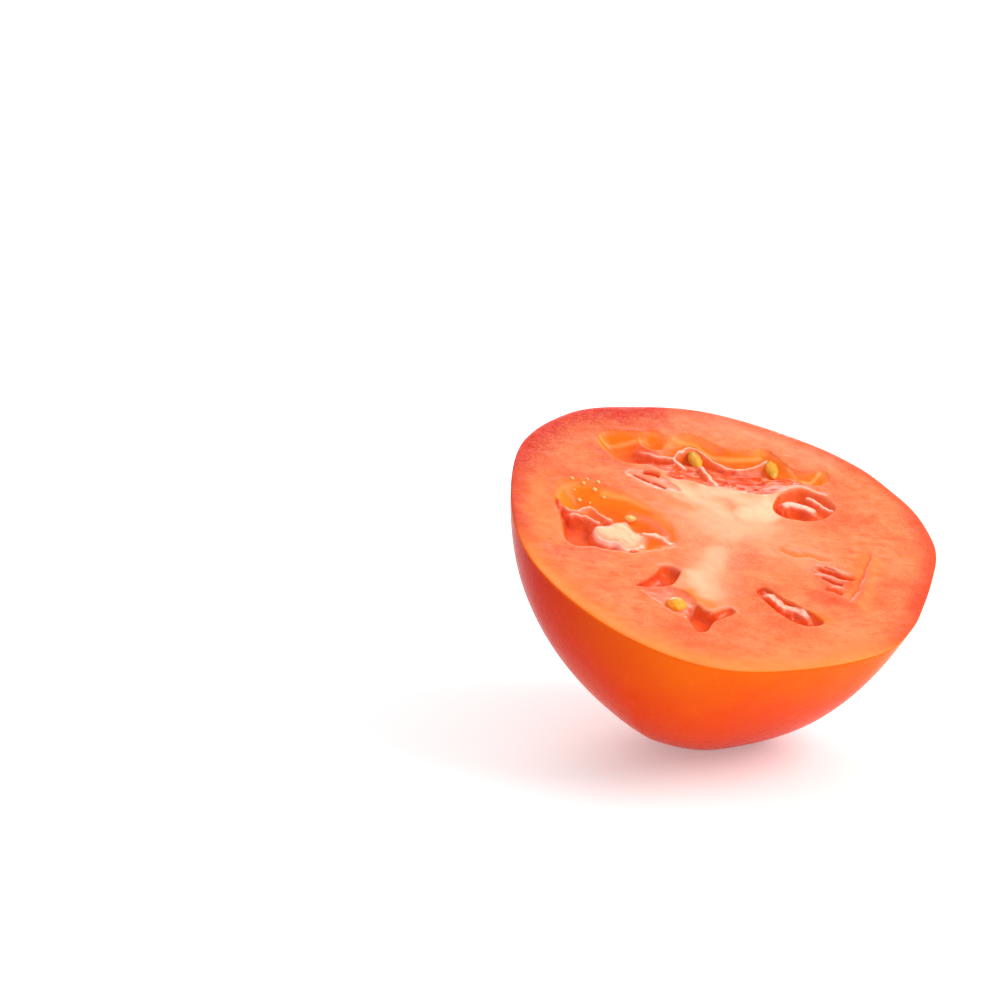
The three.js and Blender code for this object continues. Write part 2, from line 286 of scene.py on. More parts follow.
@dataclass(frozen=True)
class Hollow:
    """A seed chamber. Its far wall is the one away from its centre, which the light shines through, and a
    glow is painted on it.

    The far wall falls over far_width and the near one over near_width. A crisp wall starts steeply at
    the lip and a soft one rolls in, and the roll is how far outside its outline the flesh already
    falls. The shares say how much painted glow the far wall gets, how deep red the floor is and how
    quickly it turns so, how mottled its bed is, how much of a pale wet sheet covers it and how much pale
    film, partly a painted highlight, runs along the lip.
    """

    outline: list[Point]
    depth: float
    far_width: float
    near_width: float
    crisp: float = 0.7
    amber: float = 0.0
    deep: float = 1.0
    mottle: float = 0.0
    sheet: float = 0.0
    lip: float = 0.3
    roll: float = 0.12
    quick: float = 3.2
    centre: Point = (0.0, 1.0)

    def carve(self, relief: Relief) -> None:
        """Cut the chamber into the face and mark its walls and floor."""
        places = relief.places
        curve = Curve(self.outline, closed=True)
        inside = curve.contains(places)
        far, near = self.wall_distances(curve, places)
        rough = 1.0 + 0.2 * Lumps.WALL.at(places)
        inward = np.where(inside, rough, -rough)
        fall_far = self.wall(inward * far, self.far_width)
        fall_near = self.wall(inward * near, self.near_width)
        outside = np.where(far < near, fall_far, fall_near)
        fall = np.where(inside, np.minimum(fall_far, fall_near), outside)
        zones = 0.25 + 0.75 * soft(0.5 + 1.1 * Lumps.ZONE.at(places))
        bed = self.mottle * soft(fall * 2.5) * zones
        ripples = 0.2 * Lumps.RIPPLE.at(places) + 0.09 * Lumps.FINE_RIPPLE.at(places)
        floor = -self.depth * fall + bed * (ripples + 0.14 * Lumps.BED.at(places))
        relief.height = np.where(inside, np.minimum(floor, relief.height), relief.height + floor)
        relief.raise_inside(Mask.MOTTLE_AND_REFLECTION, inside, bed)
        # Painted highlight: a pale line just inside the lip of a glowing far wall, broken up by random
        # lumps.
        lit = soft(0.5 + 0.9 * Lumps.LIT.at(places)) * (far < near)
        relief.raise_mask(Mask.LIGHT, 0.5 * self.amber * bell(far - 0.2, 0.4) * lit)
        # Painted glow over the far wall, as of light shining through it.
        far_wall_glow = self.amber * soft(1.25 - far / (self.far_width * 1.6)) * (far < near * 1.6)
        relief.raise_mask(Mask.PAINTED_GLOW_AND_SHADE, far_wall_glow * soft(fall * 7.0))
        foot = far_wall_glow * 0.45 * soft(1.6 * fall - 0.7)
        red = self.deep * soft(0.12 + fall * self.quick) * (1 - far_wall_glow)
        relief.raise_inside(Mask.DEEP, inside, np.maximum(red, foot))
        cloudy = 0.75 + 0.35 * Lumps.SHEET.at(places)
        relief.raise_inside(Mask.FILM_AND_HIGHLIGHT, inside, self.sheet * cloudy * soft(fall * 2.0))
        # Pale wet film along the lip, partly a painted highlight.
        broken = soft(0.6 + 0.7 * Lumps.LIP.at(places))
        relief.raise_mask(Mask.FILM_AND_HIGHLIGHT, self.lip * broken * bell(far - 0.05, 0.17))

    def wall_distances(self, curve: Curve, places: np.ndarray) -> tuple[np.ndarray, ...]:
        """Measure to the wall that faces away from the centre and to the one that faces it."""
        middle = (curve.starts + curve.ends) / 2
        run = curve.ends - curve.starts
        area = curve.starts[:, 0] * curve.ends[:, 1] - curve.ends[:, 0] * curve.starts[:, 1]
        outward = np.stack([run[:, 1], -run[:, 0]], 1) * np.sign(area.sum())
        away = (outward * (middle - np.array(self.centre))).sum(1) > 0.0
        return tuple(curve.nearest(places, WALL_REACH, pick)[0] for pick in (away, ~away))

    def wall(self, inward: np.ndarray, width: float) -> np.ndarray:
        """Give the fall of a wall, 0 at the lip and 1 at the floor."""
        held = np.clip((inward + self.roll) / (width + self.roll), 0.0, 1.0)
        return self.crisp * (1.0 - (1.0 - held) ** 2) + (1.0 - self.crisp) * soft(held)


@dataclass(frozen=True)
class Fold:
    """A slit or crease along a line, with a width for each side of it. Its film share paints a pale
    highlight along its edges.
    """

    line: list[Point]
    depth: float
    left: float
    right: float
    mask: Mask = Mask.DEEP
    strength: float = 0.85
    film: float = 0.0

    def carve(self, relief: Relief) -> None:
        """Cut the fold into the face."""
        wobble = 0.12 * Lumps.FOLD_LINE.shift(relief.places)
        distance, side, along = Curve(self.line).nearest(relief.places + wobble, 3.0)
        width = np.where(side > 0, self.left, self.right)
        end = soft(np.minimum(along, 1 - along) / 0.18)
        fall = (1 - soft(distance / width)) * end
        relief.height = relief.height - self.depth * fall
        relief.lower_mask(Mask.FILM_AND_HIGHLIGHT, soft(fall * 1.8))
        shade = soft(fall * 1.7) if self.mask is Mask.DEEP else fall**1.3
        relief.raise_mask(self.mask, self.strength * shade)
        # Painted highlight along the edges of the fold.
        relief.raise_mask(Mask.FILM_AND_HIGHLIGHT, self.film * bell(distance - width, 0.18) * end)


@dataclass(frozen=True)
class Ridge:
    """A crest of gel or film along a line, with a slope for each side of it.

    A flat crest is that much wide on either side of its line. A painted highlight runs along the crest,
    and the skirt is how far the pale film hangs down from the crest.
    """

    line: list[Point]
    crest: float
    left_slope: float = 2.4
    right_slope: float = 1.0
    flat: float = 0.0
    ragged: float = 0.25
    film: float = 0.85
    skirt: float = 0.8
    rounding: float = 0.12

    def raise_on(self, relief: Relief) -> None:
        """Let the crest stand on the floor that is there."""
        places = relief.places
        wobble = 0.2 * Lumps.RIDGE_LINE.shift(places)
        distance, side, along = Curve(self.line).nearest(places + wobble, 3.5)
        distance = np.maximum(distance - self.flat, 0.0)
        slope = np.where(side > 0, self.left_slope, self.right_slope)
        end = soft(np.minimum(along, 1 - along) / 0.1)
        crest = -self.crest - 0.5 * (1 - end) - self.ragged * (1 + Lumps.CREST.at(places)) / 2
        top = crest - slope * (np.sqrt(distance**2 + self.rounding**2) - self.rounding)
        sunk = relief.height < -0.12
        gap = top - relief.height
        lift = np.where(sunk & (gap > -0.5), 0.5 * (gap + np.sqrt(gap**2 + 0.01)), 0.0)
        relief.height = np.minimum(relief.height + lift, np.maximum(relief.height, -0.05))
        shown = soft(gap / 0.3 + 1.0) * sunk * end
        # Painted highlight along the crest line.
        relief.raise_mask(Mask.FILM_AND_HIGHLIGHT, self.film * bell(distance, 0.3) * shown)
        veil = np.where(side > 0, 0.08, 0.22) * bell(distance, self.skirt)
        streaks = soft(0.3 + 0.9 * Lumps.STREAK.at(places))
        relief.raise_mask(Mask.FILM_AND_HIGHLIGHT, self.film * veil * streaks * shown)
        relief.lower_mask(Mask.PAINTED_GLOW_AND_SHADE, 0.6 * bell(distance, 0.35) * shown)


@dataclass(frozen=True)
class Island:
    """A piece of seed bed that stands in a chamber with a lobed edge."""

    outline: list[Point]
    top: float
    slope: float
    core: float

    def raise_on(self, relief: Relief) -> None:
        """Let the island stand on the floor that is there."""
        places = relief.places
        wobble = 0.5 * Lumps.ISLAND_EDGE.shift(places)
        curve = Curve(self.outline, closed=True)
        distance = curve.nearest(places + wobble, 3.0)[0]
        inside = curve.contains(places + wobble)
        signed = np.where(inside, -distance, distance)
        shape = -self.top - self.slope * np.maximum(signed, 0.0) + 0.07 * Lumps.ISLAND_TOP.at(places)
        shape = shape - 0.25 * (1 - soft(-signed / 1.4))
        gap = shape - relief.height
        sunk = relief.height < -0.1
        higher = soft(gap / 0.3 + 0.5) * sunk
        relief.height = np.where(sunk, np.maximum(shape, relief.height), relief.height)
        cover = soft(0.7 - signed / 0.6) * higher
        relief.lower_mask(Mask.DEEP, cover)
        relief.lower_mask(Mask.PAINTED_GLOW_AND_SHADE, cover)
        relief.raise_mask(Mask.CORE, self.core * soft(0.35 - signed / 1.2) * higher)
        lower = soft(0.5 + (-places[:, 1] - 2.2 - 0.35 * (places[:, 0] + 15.0)) / 2.5)
        relief.raise_mask(Mask.FILM_AND_HIGHLIGHT, (0.35 + 0.6 * lower) * bell(signed - 0.1, 0.6) * higher)
        relief.raise_mask(Mask.MOTTLE_AND_REFLECTION, 0.5 * (1 - soft(-signed / 1.6)) * higher)


@dataclass(frozen=True)
class Patch:
    """A soft patch of colour along a line in the flesh."""

    line: list[Point]
    width: float
    strength: float
    cloud: float = 1.0

    def paint(self, relief: Relief, mask: Mask) -> None:
        """Lay the patch on a mask, with a cloudy edge."""
        places = relief.places
        cloudy = 0.9 * Lumps.PATCH_BROAD.shift(places) + 0.35 * Lumps.PATCH_FINE.shift(places)
        moved = places + self.cloud * cloudy
        distance = Curve(self.line).nearest(moved, 3.0 * self.width + 2.0)[0]
        relief.raise_mask(mask, self.strength * bell(distance, self.width))


HOLLOWS = [
    Hollow(
        [
            (-18.9, 19.0), (-18.2, 21.2), (-15.5, 21.9), (-13.2, 22.2), (-10.9, 23.0), (-8.9, 21.9),
            (-6.6, 23.3), (-4.4, 23.2), (-2.3, 21.9), (-0.2, 21.1), (1.8, 21.6), (3.6, 21.8), (5.4, 22.6),
            (7.3, 21.0), (9.2, 18.9), (11.0, 18.3), (12.9, 18.8), (14.3, 19.4), (14.6, 17.2),
            (12.6, 16.2), (9.4, 16.8), (5.8, 16.6), (2.0, 16.0), (-2.0, 16.4), (-5.2, 16.8), (-8.5, 16.2),
            (-12.0, 15.2), (-15.2, 14.8), (-17.4, 16.8),
        ],
        depth=2.6, far_width=2.2, near_width=2.6, crisp=0.35, amber=1.0, mottle=0.3, roll=0.45,
    ),
    Hollow(
        [
            (-15.4, 15.2), (-11.0, 17.6), (-6.0, 18.4), (0.0, 18.0), (6.0, 18.4), (11.0, 17.4),
            (12.2, 15.8), (9.6, 15.0), (8.0, 13.2), (6.2, 11.8), (3.4, 11.4), (0.0, 11.7), (-3.0, 11.6),
            (-5.5, 12.3), (-8.0, 12.0), (-9.4, 13.6), (-12.4, 14.6),
        ],
        depth=1.5, far_width=0.4, near_width=4.2, crisp=0.45, deep=0.97, mottle=1.0, lip=0.0, quick=4.0,
    ),
    Hollow(
        [
            (-14.8, 12.0), (-13.6, 13.3), (-11.8, 13.5), (-9.8, 12.7), (-8.0, 11.2), (-6.6, 9.6),
            (-8.2, 9.2), (-9.9, 9.2), (-11.8, 9.9), (-13.6, 10.9),
        ],
        depth=0.3, far_width=0.9, near_width=0.9, deep=0.5, sheet=0.75, lip=0.9,
    ),
    Hollow(
        [
            (7.0, 10.8), (7.8, 12.5), (9.2, 13.7), (11.2, 14.3), (13.2, 13.9), (15.0, 12.7), (15.9, 11.0),
            (15.2, 9.4), (13.5, 7.6), (10.8, 6.9), (8.1, 7.3), (6.8, 8.8),
        ],
        depth=1.7, far_width=1.1, near_width=1.0, amber=0.3, lip=0.35,
    ),
    Hollow(
        [
            (-24.4, 5.0), (-23.6, 7.0), (-21.5, 7.9), (-19.0, 7.5), (-16.0, 6.8), (-12.8, 5.3),
            (-10.6, 3.6), (-8.6, 1.6), (-7.3, -0.9), (-7.4, -3.2), (-9.6, -4.6), (-12.5, -5.7),
            (-15.8, -6.0), (-18.6, -5.7), (-21.6, -6.2), (-22.8, -4.0), (-23.4, 0.0), (-24.2, 2.6),
        ],
        depth=2.5, far_width=4.0, near_width=1.0, crisp=0.15, amber=1.0, lip=0.1, roll=0.8,
        centre=(-23.0, -8.0),
    ),
    Hollow(
        [
            (-12.6, -13.9), (-11.2, -12.2), (-9.9, -10.4), (-9.2, -8.7), (-7.7, -8.3), (-6.4, -8.9),
            (-6.5, -10.4), (-7.4, -12.4), (-9.0, -13.3), (-11.0, -13.8),
        ],
        depth=1.4, far_width=1.2, near_width=1.1, crisp=0.6, deep=0.95, lip=0.0,
    ),
    Hollow(
        [
            (-11.8, -14.4), (-10.2, -13.6), (-8.0, -13.0), (-5.6, -13.6), (-4.0, -15.2), (-4.4, -17.0),
            (-5.8, -18.6), (-7.8, -18.4), (-9.0, -16.9), (-10.6, -15.7),
        ],
        depth=0.5, far_width=0.6, near_width=0.9, deep=0.5, mottle=0.5, sheet=0.65, lip=0.8,
    ),
    Hollow(
        [
            (-5.4, -18.4), (-4.9, -16.4), (-3.8, -16.0), (-2.7, -17.2), (-1.5, -17.5), (-0.5, -16.6),
            (0.9, -15.8), (1.5, -16.8), (0.1, -18.1), (-1.4, -19.4), (-2.3, -21.6), (-3.5, -22.2),
            (-4.4, -20.7),
        ],
        depth=1.6, far_width=0.9, near_width=1.2, crisp=0.6, lip=0.0,
    ),
    Hollow(
        [
            (4.5, -11.1), (5.7, -10.0), (8.2, -11.7), (10.5, -13.1), (12.7, -14.4), (14.1, -15.9),
            (12.5, -17.1), (10.0, -16.9), (7.6, -15.1), (5.6, -12.8),
        ],
        depth=1.7, far_width=0.8, near_width=1.1, crisp=0.8, lip=0.0,
    ),
]

FOLDS = [
    Fold([(-12.5, 13.0), (-10.9, 13.0), (-9.7, 12.4)], 0.8, 0.65, 0.5, strength=1.0),
    Fold([(-14.0, 12.3), (-12.0, 11.3), (-11.2, 10.9)], 0.6, 0.34, 0.3, strength=1.0),
    Fold([(-11.3, 11.0), (-9.9, 10.4), (-8.7, 10.0)], 0.6, 0.4, 0.3, strength=1.0),
    Fold([(14.0, -3.1), (15.0, -3.4), (15.9, -3.8)], 0.35, 0.25, 0.25, strength=1.0),
    Fold(
        [(12.7, -3.7), (14.3, -4.0), (15.6, -4.4), (16.8, -4.9), (19.0, -4.7)],
        0.8, 0.7, 0.7, strength=1.0, film=0.6,
    ),
    Fold([(13.5, -5.4), (14.8, -6.0), (15.8, -6.6), (17.0, -6.7)], 0.6, 0.5, 0.5, strength=1.0, film=0.6),
    Fold([(14.0, -8.0), (15.5, -8.3), (17.0, -8.9)], 0.5, 0.8, 0.7, strength=0.9, film=0.2),
    # Painted shade along the long crease on the right: an orange shade beside it and a dark red line in
    # it.
    Fold(
        [(21.9, 4.0), (20.8, 0.9), (20.5, -1.0), (19.8, -3.9), (19.2, -6.5), (18.6, -8.5), (17.9, -10.6)],
        0.18, 0.5, 2.8, mask=Mask.PAINTED_GLOW_AND_SHADE, strength=0.55,
    ),
    Fold(
        [(21.2, 1.9), (20.5, -1.0), (19.8, -3.9), (19.2, -6.5), (18.6, -8.5), (18.0, -10.2)],
        0.14, 0.24, 0.45, strength=0.8,
    ),
    # Painted shade: an orange tint along the groove.
    Fold(
        [(7.4, -0.4), (8.1, -0.8), (9.2, -1.4), (10.4, -1.5), (12.1, -1.1), (13.6, -1.5), (16.3, -2.2)],
        0.25, 0.9, 0.7, mask=Mask.PAINTED_GLOW_AND_SHADE, strength=0.7,
    ),
]

ISLANDS = [
    Island(
        [
            (-18.4, -1.4), (-16.6, 0.0), (-14.5, 0.9), (-12.8, -0.5), (-11.5, -1.7), (-11.9, -3.9),
            (-13.4, -5.2), (-15.2, -4.3), (-16.9, -3.9), (-18.2, -3.0),
        ],
        top=0.45, slope=1.3, core=0.95,
    ),
]

RIDGES = [
    Ridge(
        [
            (-13.8, 19.9), (-12.6, 19.2), (-10.0, 18.7), (-7.9, 18.9), (-7.3, 19.9), (-6.3, 21.5),
            (-5.1, 22.1), (-3.2, 20.6), (-1.3, 19.0), (0.4, 18.4), (2.2, 18.5), (4.6, 20.1), (6.7, 22.0),
            (7.9, 22.6), (8.6, 19.7), (10.0, 17.8), (11.4, 16.7), (13.4, 16.0),
        ],
        crest=1.0, right_slope=1.5, skirt=0.6,
    ),
    Ridge(
        [(-12.9, 21.5), (-12.3, 20.1), (-10.9, 19.4), (-9.7, 19.9), (-8.8, 21.0), (-8.6, 22.1)],
        crest=0.6, left_slope=1.2, film=0.3, skirt=0.3,
    ),
    Ridge([(-7.9, 19.0), (-7.3, 18.0), (-6.0, 16.2)], crest=0.9, flat=0.12, left_slope=1.2),
    Ridge([(-4.2, 17.6), (-2.9, 15.5), (-1.8, 13.6), (-1.0, 12.4)], crest=0.55, flat=0.1, left_slope=0.9),
    Ridge(
        [(8.0, 9.9), (9.1, 10.6), (10.3, 10.7), (11.5, 10.4), (13.4, 9.4)],
        crest=0.15, flat=0.34, ragged=0.1, skirt=0.3,
    ),
    Ridge(
        [(11.2, 13.0), (12.2, 12.9), (13.0, 12.5), (13.7, 11.9), (14.4, 11.0), (16.2, 10.9)],
        crest=0.3, flat=0.12, skirt=0.3,
    ),
    Ridge(
        [
            (-23.6, 3.3), (-22.7, 2.5), (-21.4, 2.3), (-20.2, 3.4), (-19.4, 3.9), (-18.3, 2.5),
            (-17.1, 1.6), (-15.9, 1.2),
        ],
        crest=0.7, skirt=0.6,
    ),
    Ridge(
        [(-23.0, 1.7), (-20.5, 1.6), (-18.9, 0.8), (-18.0, 0.5)],
        crest=0.9, skirt=0.25, left_slope=1.6,
    ),
    Ridge(
        [(-12.4, -1.3), (-10.6, -1.2), (-9.3, -1.6), (-8.4, -2.5), (-7.5, -3.4)],
        crest=0.2, flat=0.14, skirt=0.3,
    ),
    Ridge(
        [
            (5.0, -10.4), (6.4, -11.2), (7.5, -12.0), (8.2, -12.9), (9.5, -13.3), (10.8, -13.5),
            (11.6, -14.3), (12.3, -15.4),
        ],
        crest=0.1, flat=0.36, ragged=0.5, film=0.8, skirt=0.35,
    ),
]

PATCHES = {
    Mask.CORE: [
        Patch([(-3.0, 5.0), (0.6, 2.0), (4.0, 4.0)], 6.2, 0.68),
        Patch([(-8.6, 10.8), (-4.0, 8.0), (0.0, 5.0)], 3.2, 0.8),
        Patch([(-3.5, 10.6), (2.5, 10.0), (6.0, 9.8)], 2.8, 0.8),
        Patch([(3.6, 7.0), (6.4, 9.2)], 3.6, 1.0),
        Patch([(-8.8, 10.4), (-5.0, 9.0)], 2.2, 0.9),
        Patch([(3.0, 0.0), (8.0, -1.5), (13.0, -2.0)], 3.0, 0.35),
        Patch([(-1.0, -4.0), (-2.7, -9.0), (-3.0, -13.0)], 3.8, 0.72),
        Patch([(-3.8, -9.6), (-3.6, -11.6)], 3.0, 0.84),
        Patch([(-7.9, 8.1), (-6.5, 7.5), (-5.3, 7.0), (-4.9, 5.9)], 0.5, 0.75, cloud=0.3),
        Patch([(-8.0, 26.6), (4.0, 26.0), (14.0, 22.6)], 2.4, 0.28),
    ],
    Mask.BLUSH: [
        Patch([(-30.2, 12.0), (-27.2, 20.0), (-21.0, 25.2), (-13.0, 28.0)], 4.2, 1.0),
        Patch([(-30.6, 8.0), (-30.2, -2.0), (-28.0, -9.0)], 1.8, 0.6),
        Patch([(-19.6, 16.6), (-17.8, 14.6), (-15.4, 13.4)], 1.3, 0.45, cloud=0.5),
        Patch([(-24.0, -8.6), (-19.0, -8.0)], 1.5, 0.4),
        Patch([(15.5, 6.4), (19.0, 8.0)], 1.8, 0.25),
        Patch([(27.5, 11.0), (30.0, 2.0), (27.5, -10.0)], 1.8, 0.4),
        Patch([(2.1, -5.3), (3.5, -3.1)], 1.8, 0.4),
        Patch([(15.0, -10.4), (17.6, -10.8)], 1.8, 0.25),
        Patch([(-14.0, 9.0), (-11.0, 8.2)], 1.2, 0.35),
        Patch([(13.8, -4.6), (16.0, -5.8), (18.0, -6.6)], 1.7, 0.55, cloud=0.4),
    ],
    # Painted light: pale highlight lines along the lips of the chambers, a lit band beside the long
    # crease on the right, and glow in the flesh on the left.
    Mask.LIGHT: [
        Patch([(-27.0, 10.0), (-27.2, 3.0), (-26.2, -4.0)], 2.4, 0.8),
        Patch([(-23.0, 20.5), (-19.0, 23.6)], 1.5, 0.7),
        Patch(
            [(21.6, 0.0), (21.3, -3.4), (20.8, -6.4), (20.2, -9.4), (20.0, -12.0)],
            0.8, 0.8, cloud=0.3,
        ),
        Patch([(-19.0, 20.4), (-17.3, 20.2), (-13.6, 21.4)], 0.24, 1.0, cloud=0.1),
        Patch(
            [(-13.0, 21.8), (-12.3, 20.6), (-10.9, 19.6), (-9.7, 20.2), (-8.8, 21.5)],
            0.24, 1.0, cloud=0.1,
        ),
        Patch(
            [
                (-8.2, 22.4), (-6.3, 22.8), (-4.6, 22.6), (-3.3, 21.3), (-1.6, 20.7), (0.2, 20.6),
                (2.4, 21.0), (5.0, 21.8),
            ],
            0.25, 1.0, cloud=0.1,
        ),
        Patch([(8.9, 19.5), (10.4, 17.9), (12.3, 17.7), (13.7, 19.4)], 0.24, 1.0, cloud=0.1),
        Patch([(-17.8, 6.9), (-14.6, 6.3), (-12.5, 5.4), (-10.5, 4.2), (-8.7, 2.5)], 0.5, 0.8, cloud=0.2),
    ],
    # Painted glow and shade in orange: shade at the edge of the seed bed and on the slopes by the front
    # pockets and the crescent, glow on the upper wall of the left chamber.
    Mask.PAINTED_GLOW_AND_SHADE: [
        Patch([(-8.3, 6.4), (-6.7, 6.4), (-5.3, 5.7)], 0.8, 0.35, cloud=0.3),
        Patch([(-23.0, 7.4), (-20.8, 7.8), (-18.8, 7.0)], 1.1, 0.6, cloud=0.4),
        Patch([(-5.0, -13.6), (-3.9, -14.8), (-2.6, -15.4), (-1.2, -16.0)], 0.9, 0.8, cloud=0.2),
        Patch([(12.6, -14.9), (14.4, -15.8)], 0.9, 0.7, cloud=0.3),
        Patch([(-0.9, -17.5), (0.9, -16.7)], 0.5, 0.8, cloud=0.1),
    ],
    Mask.DEEP: [
        Patch([(-13.0, 1.0), (-10.8, 0.4), (-9.0, -0.9), (-8.2, -2.6)], 1.2, 0.6, cloud=0.1),
    ],
    # Pale wet film, with painted highlights along lips, above the groove and on the upper edges of the
    # slits in the right lobe.
    Mask.FILM_AND_HIGHLIGHT: [
        Patch([(-13.6, 3.6), (-11.6, 3.0), (-9.6, 1.4), (-8.2, -0.6)], 0.5, 0.5, cloud=0.1),
        Patch(
            [(8.2, 13.4), (9.4, 14.4), (10.8, 15.1), (12.4, 14.6), (14.6, 13.9)],
            0.45, 0.75, cloud=0.2,
        ),
        Patch([(1.8, 18.0), (3.4, 18.3), (5.3, 19.6)], 0.55, 0.6, cloud=0.3),
        Patch([(-9.4, -8.4), (-8.0, -8.0), (-6.4, -8.8)], 0.3, 0.6, cloud=0.2),
        Patch([(13.1, -3.0), (15.0, -3.1), (17.0, -4.0), (18.8, -3.9)], 0.24, 0.7, cloud=0.15),
        Patch([(12.9, -5.1), (14.2, -5.2), (15.8, -5.7), (18.0, -5.9)], 0.22, 0.7, cloud=0.15),
        Patch([(15.2, -7.6), (16.4, -7.5), (17.9, -7.8)], 0.24, 0.7, cloud=0.15),
        Patch([(9.0, -0.5), (11.0, -0.4), (14.0, -0.7)], 0.4, 0.3, cloud=0.3),
        Patch([(-1.8, -17.4), (-0.4, -16.0), (1.0, -15.4), (1.8, -16.4)], 0.25, 0.5, cloud=0.2),
        # Painted glint.
        Patch([(-5.6, -19.3), (-4.9, -19.6), (-4.4, -20.6)], 0.22, 0.8, cloud=0.2),
    ],
    Mask.RIM: [
        Patch([(13.0, -10.6), (17.4, -10.4)], 1.8, 0.6),
    ],
}


class FacePose:
    """The rest pose of the cut face: it turns places on the face into places in the room."""

    def __init__(self) -> None:
        """Work out the three axes of the face."""
        front, right = math.radians(LEAN_FRONT), math.radians(LEAN_RIGHT)
        self.axes = np.array([
            (math.cos(right), 0.0, -math.sin(right)),
            (math.sin(right) * math.sin(front), math.cos(front), math.cos(right) * math.sin(front)),
            (math.sin(right) * math.cos(front), -math.sin(front), math.cos(right) * math.cos(front)),
        ])
        self.origin = np.array(FACE_ORIGIN)

    def to_room(self, places: np.ndarray) -> np.ndarray:
        """Turn rows of u, v and w in millimetres into rows of metres in the room."""
        return (places @ self.axes + self.origin) * MM


POSE = FacePose()


@dataclass
class Tree:
    """A node tree that is filled with nodes and links."""

    tree: bpy.types.NodeTree
    column: int = 0

    def add(self, kind: str, inputs: dict | None = None, **settings: object) -> bpy.types.Node:
        """Add a node.

        Args:
            kind: The type name of the node.
            inputs: A number, colour or socket for each named or numbered input.
            settings: Attributes of the node itself.

        Returns:
            The new node.
        """
        node = self.tree.nodes.new(kind)
        node.location = (self.column * 180, -(self.column % 3) * 160)
        self.column += 1
        for name, value in settings.items():
            setattr(node, name, value)
        for name, value in (inputs or {}).items():
            if isinstance(value, Socket):
                self.tree.links.new(value, node.inputs[name])
            else:
                node.inputs[name].default_value = value
        return node

    def mask(self, mask: Mask) -> Socket:
        """Read one of the values that the mesh carries."""
        return self.add("ShaderNodeAttribute", attribute_name=mask.value).outputs["Fac"]

    def mix(self, share: Value, first: Value, second: Value) -> Socket:
        """Mix two colours by a share."""
        ends = [(*end, 1.0) if isinstance(end, tuple) else end for end in (first, second)]
        return self.add("ShaderNodeMix", {0: share, 6: ends[0], 7: ends[1]}, data_type="RGBA").outputs[2]

    def layers(self, base: Value, *layers: tuple[Value, Value]) -> Socket:
        """Lay tints over a base colour in order, each by its share."""
        for share, tint in layers:
            base = self.mix(share, base, tint)
        return base

    def math(self, operation: str, first: Value, second: Value) -> Socket:
        """Work out a sum on two values."""
        return self.add("ShaderNodeMath", {0: first, 1: second}, operation=operation).outputs[0]

    def times(self, first: Value, second: Value) -> Socket:
        """Multiply two values."""
        return self.math("MULTIPLY", first, second)

    def ramp(self, value: Value, low: float, high: float, to_low: float, to_high: float) -> Socket:
        """Map a value from one range to another, held at both ends."""
        ends = {0: value, 1: low, 2: high, 3: to_low, 4: to_high}
        return self.add("ShaderNodeMapRange", ends).outputs[0]

    def grain(self, size: float) -> bpy.types.bpy_prop_collection:
        """Add the shared grain at a size and give its outputs."""
        return self.add("ShaderNodeGroup", {"Size": size}, node_tree=grain_group()).outputs


class Shader(Tree):
    """The node tree of a new material, round its main shader."""

    def __init__(self, name: str, constants: dict[str, object]) -> None:
        """Make the material and set what doesn't vary over it."""
        self.material = bpy.data.materials.new(name)
        self.material.use_nodes = True
        super().__init__(self.material.node_tree)
        self.shader = self.tree.nodes["Principled BSDF"]
        for socket, value in constants.items():
            self.shader.inputs[socket].default_value = value

    def feed(self, name: str, value: Socket) -> None:
        """Link a varying value to the main shader."""
        self.tree.links.new(value, self.shader.inputs[name])

    def feed_bump(self, height: Socket, distance: float, strength: float) -> None:
        """Raise a fine relief on the surface."""
        settings = {"Height": height, "Distance": distance, "Strength": strength}
        self.feed("Normal", self.add("ShaderNodeBump", settings).outputs[0])


def grain_group() -> bpy.types.NodeTree:
    """Build the shared grain of cut flesh once.

    Returns:
        A group with Size in, and Grain, Clouds and Streaks out, all between 0 and 1.
    """
    name = "Flesh grain"
    if name in bpy.data.node_groups:
        return bpy.data.node_groups[name]
    group = bpy.data.node_groups.new(name, "ShaderNodeTree")
    size = group.interface.new_socket("Size", in_out="INPUT", socket_type="NodeSocketFloat")
    size.default_value = 1.0
    for label in ("Grain", "Clouds", "Streaks"):
        group.interface.new_socket(label, in_out="OUTPUT", socket_type="NodeSocketFloat")
    tree = Tree(group)
    entry, leave = tree.add("NodeGroupInput"), tree.add("NodeGroupOutput")
    place = tree.add("ShaderNodeTexCoord").outputs["Object"]
    long = tree.add("ShaderNodeVectorMath", {0: place, 1: (0.3, 1.0, 1.0)}, operation="MULTIPLY")
    grains = (
        ("Grain", place, 2600.0, 0.3, {"Detail": 2.5, "Roughness": 0.6}),
        ("Clouds", place, 420.0, 0.32, {"Detail": 3.0, "Roughness": 0.55}),
        ("Streaks", long.outputs[0], 1500.0, 0.3, {"Detail": 2.0}),
    )
    for label, vector, scale, cut, settings in grains:
        scale = tree.math("DIVIDE", scale, entry.outputs["Size"])
        noise = tree.add("ShaderNodeTexNoise", {"Vector": vector, "Scale": scale, **settings})
        spread = tree.ramp(noise.outputs["Fac"], cut, 1.0 - cut, 0.0, 1.0)
        group.links.new(spread, leave.inputs[label])
    return group


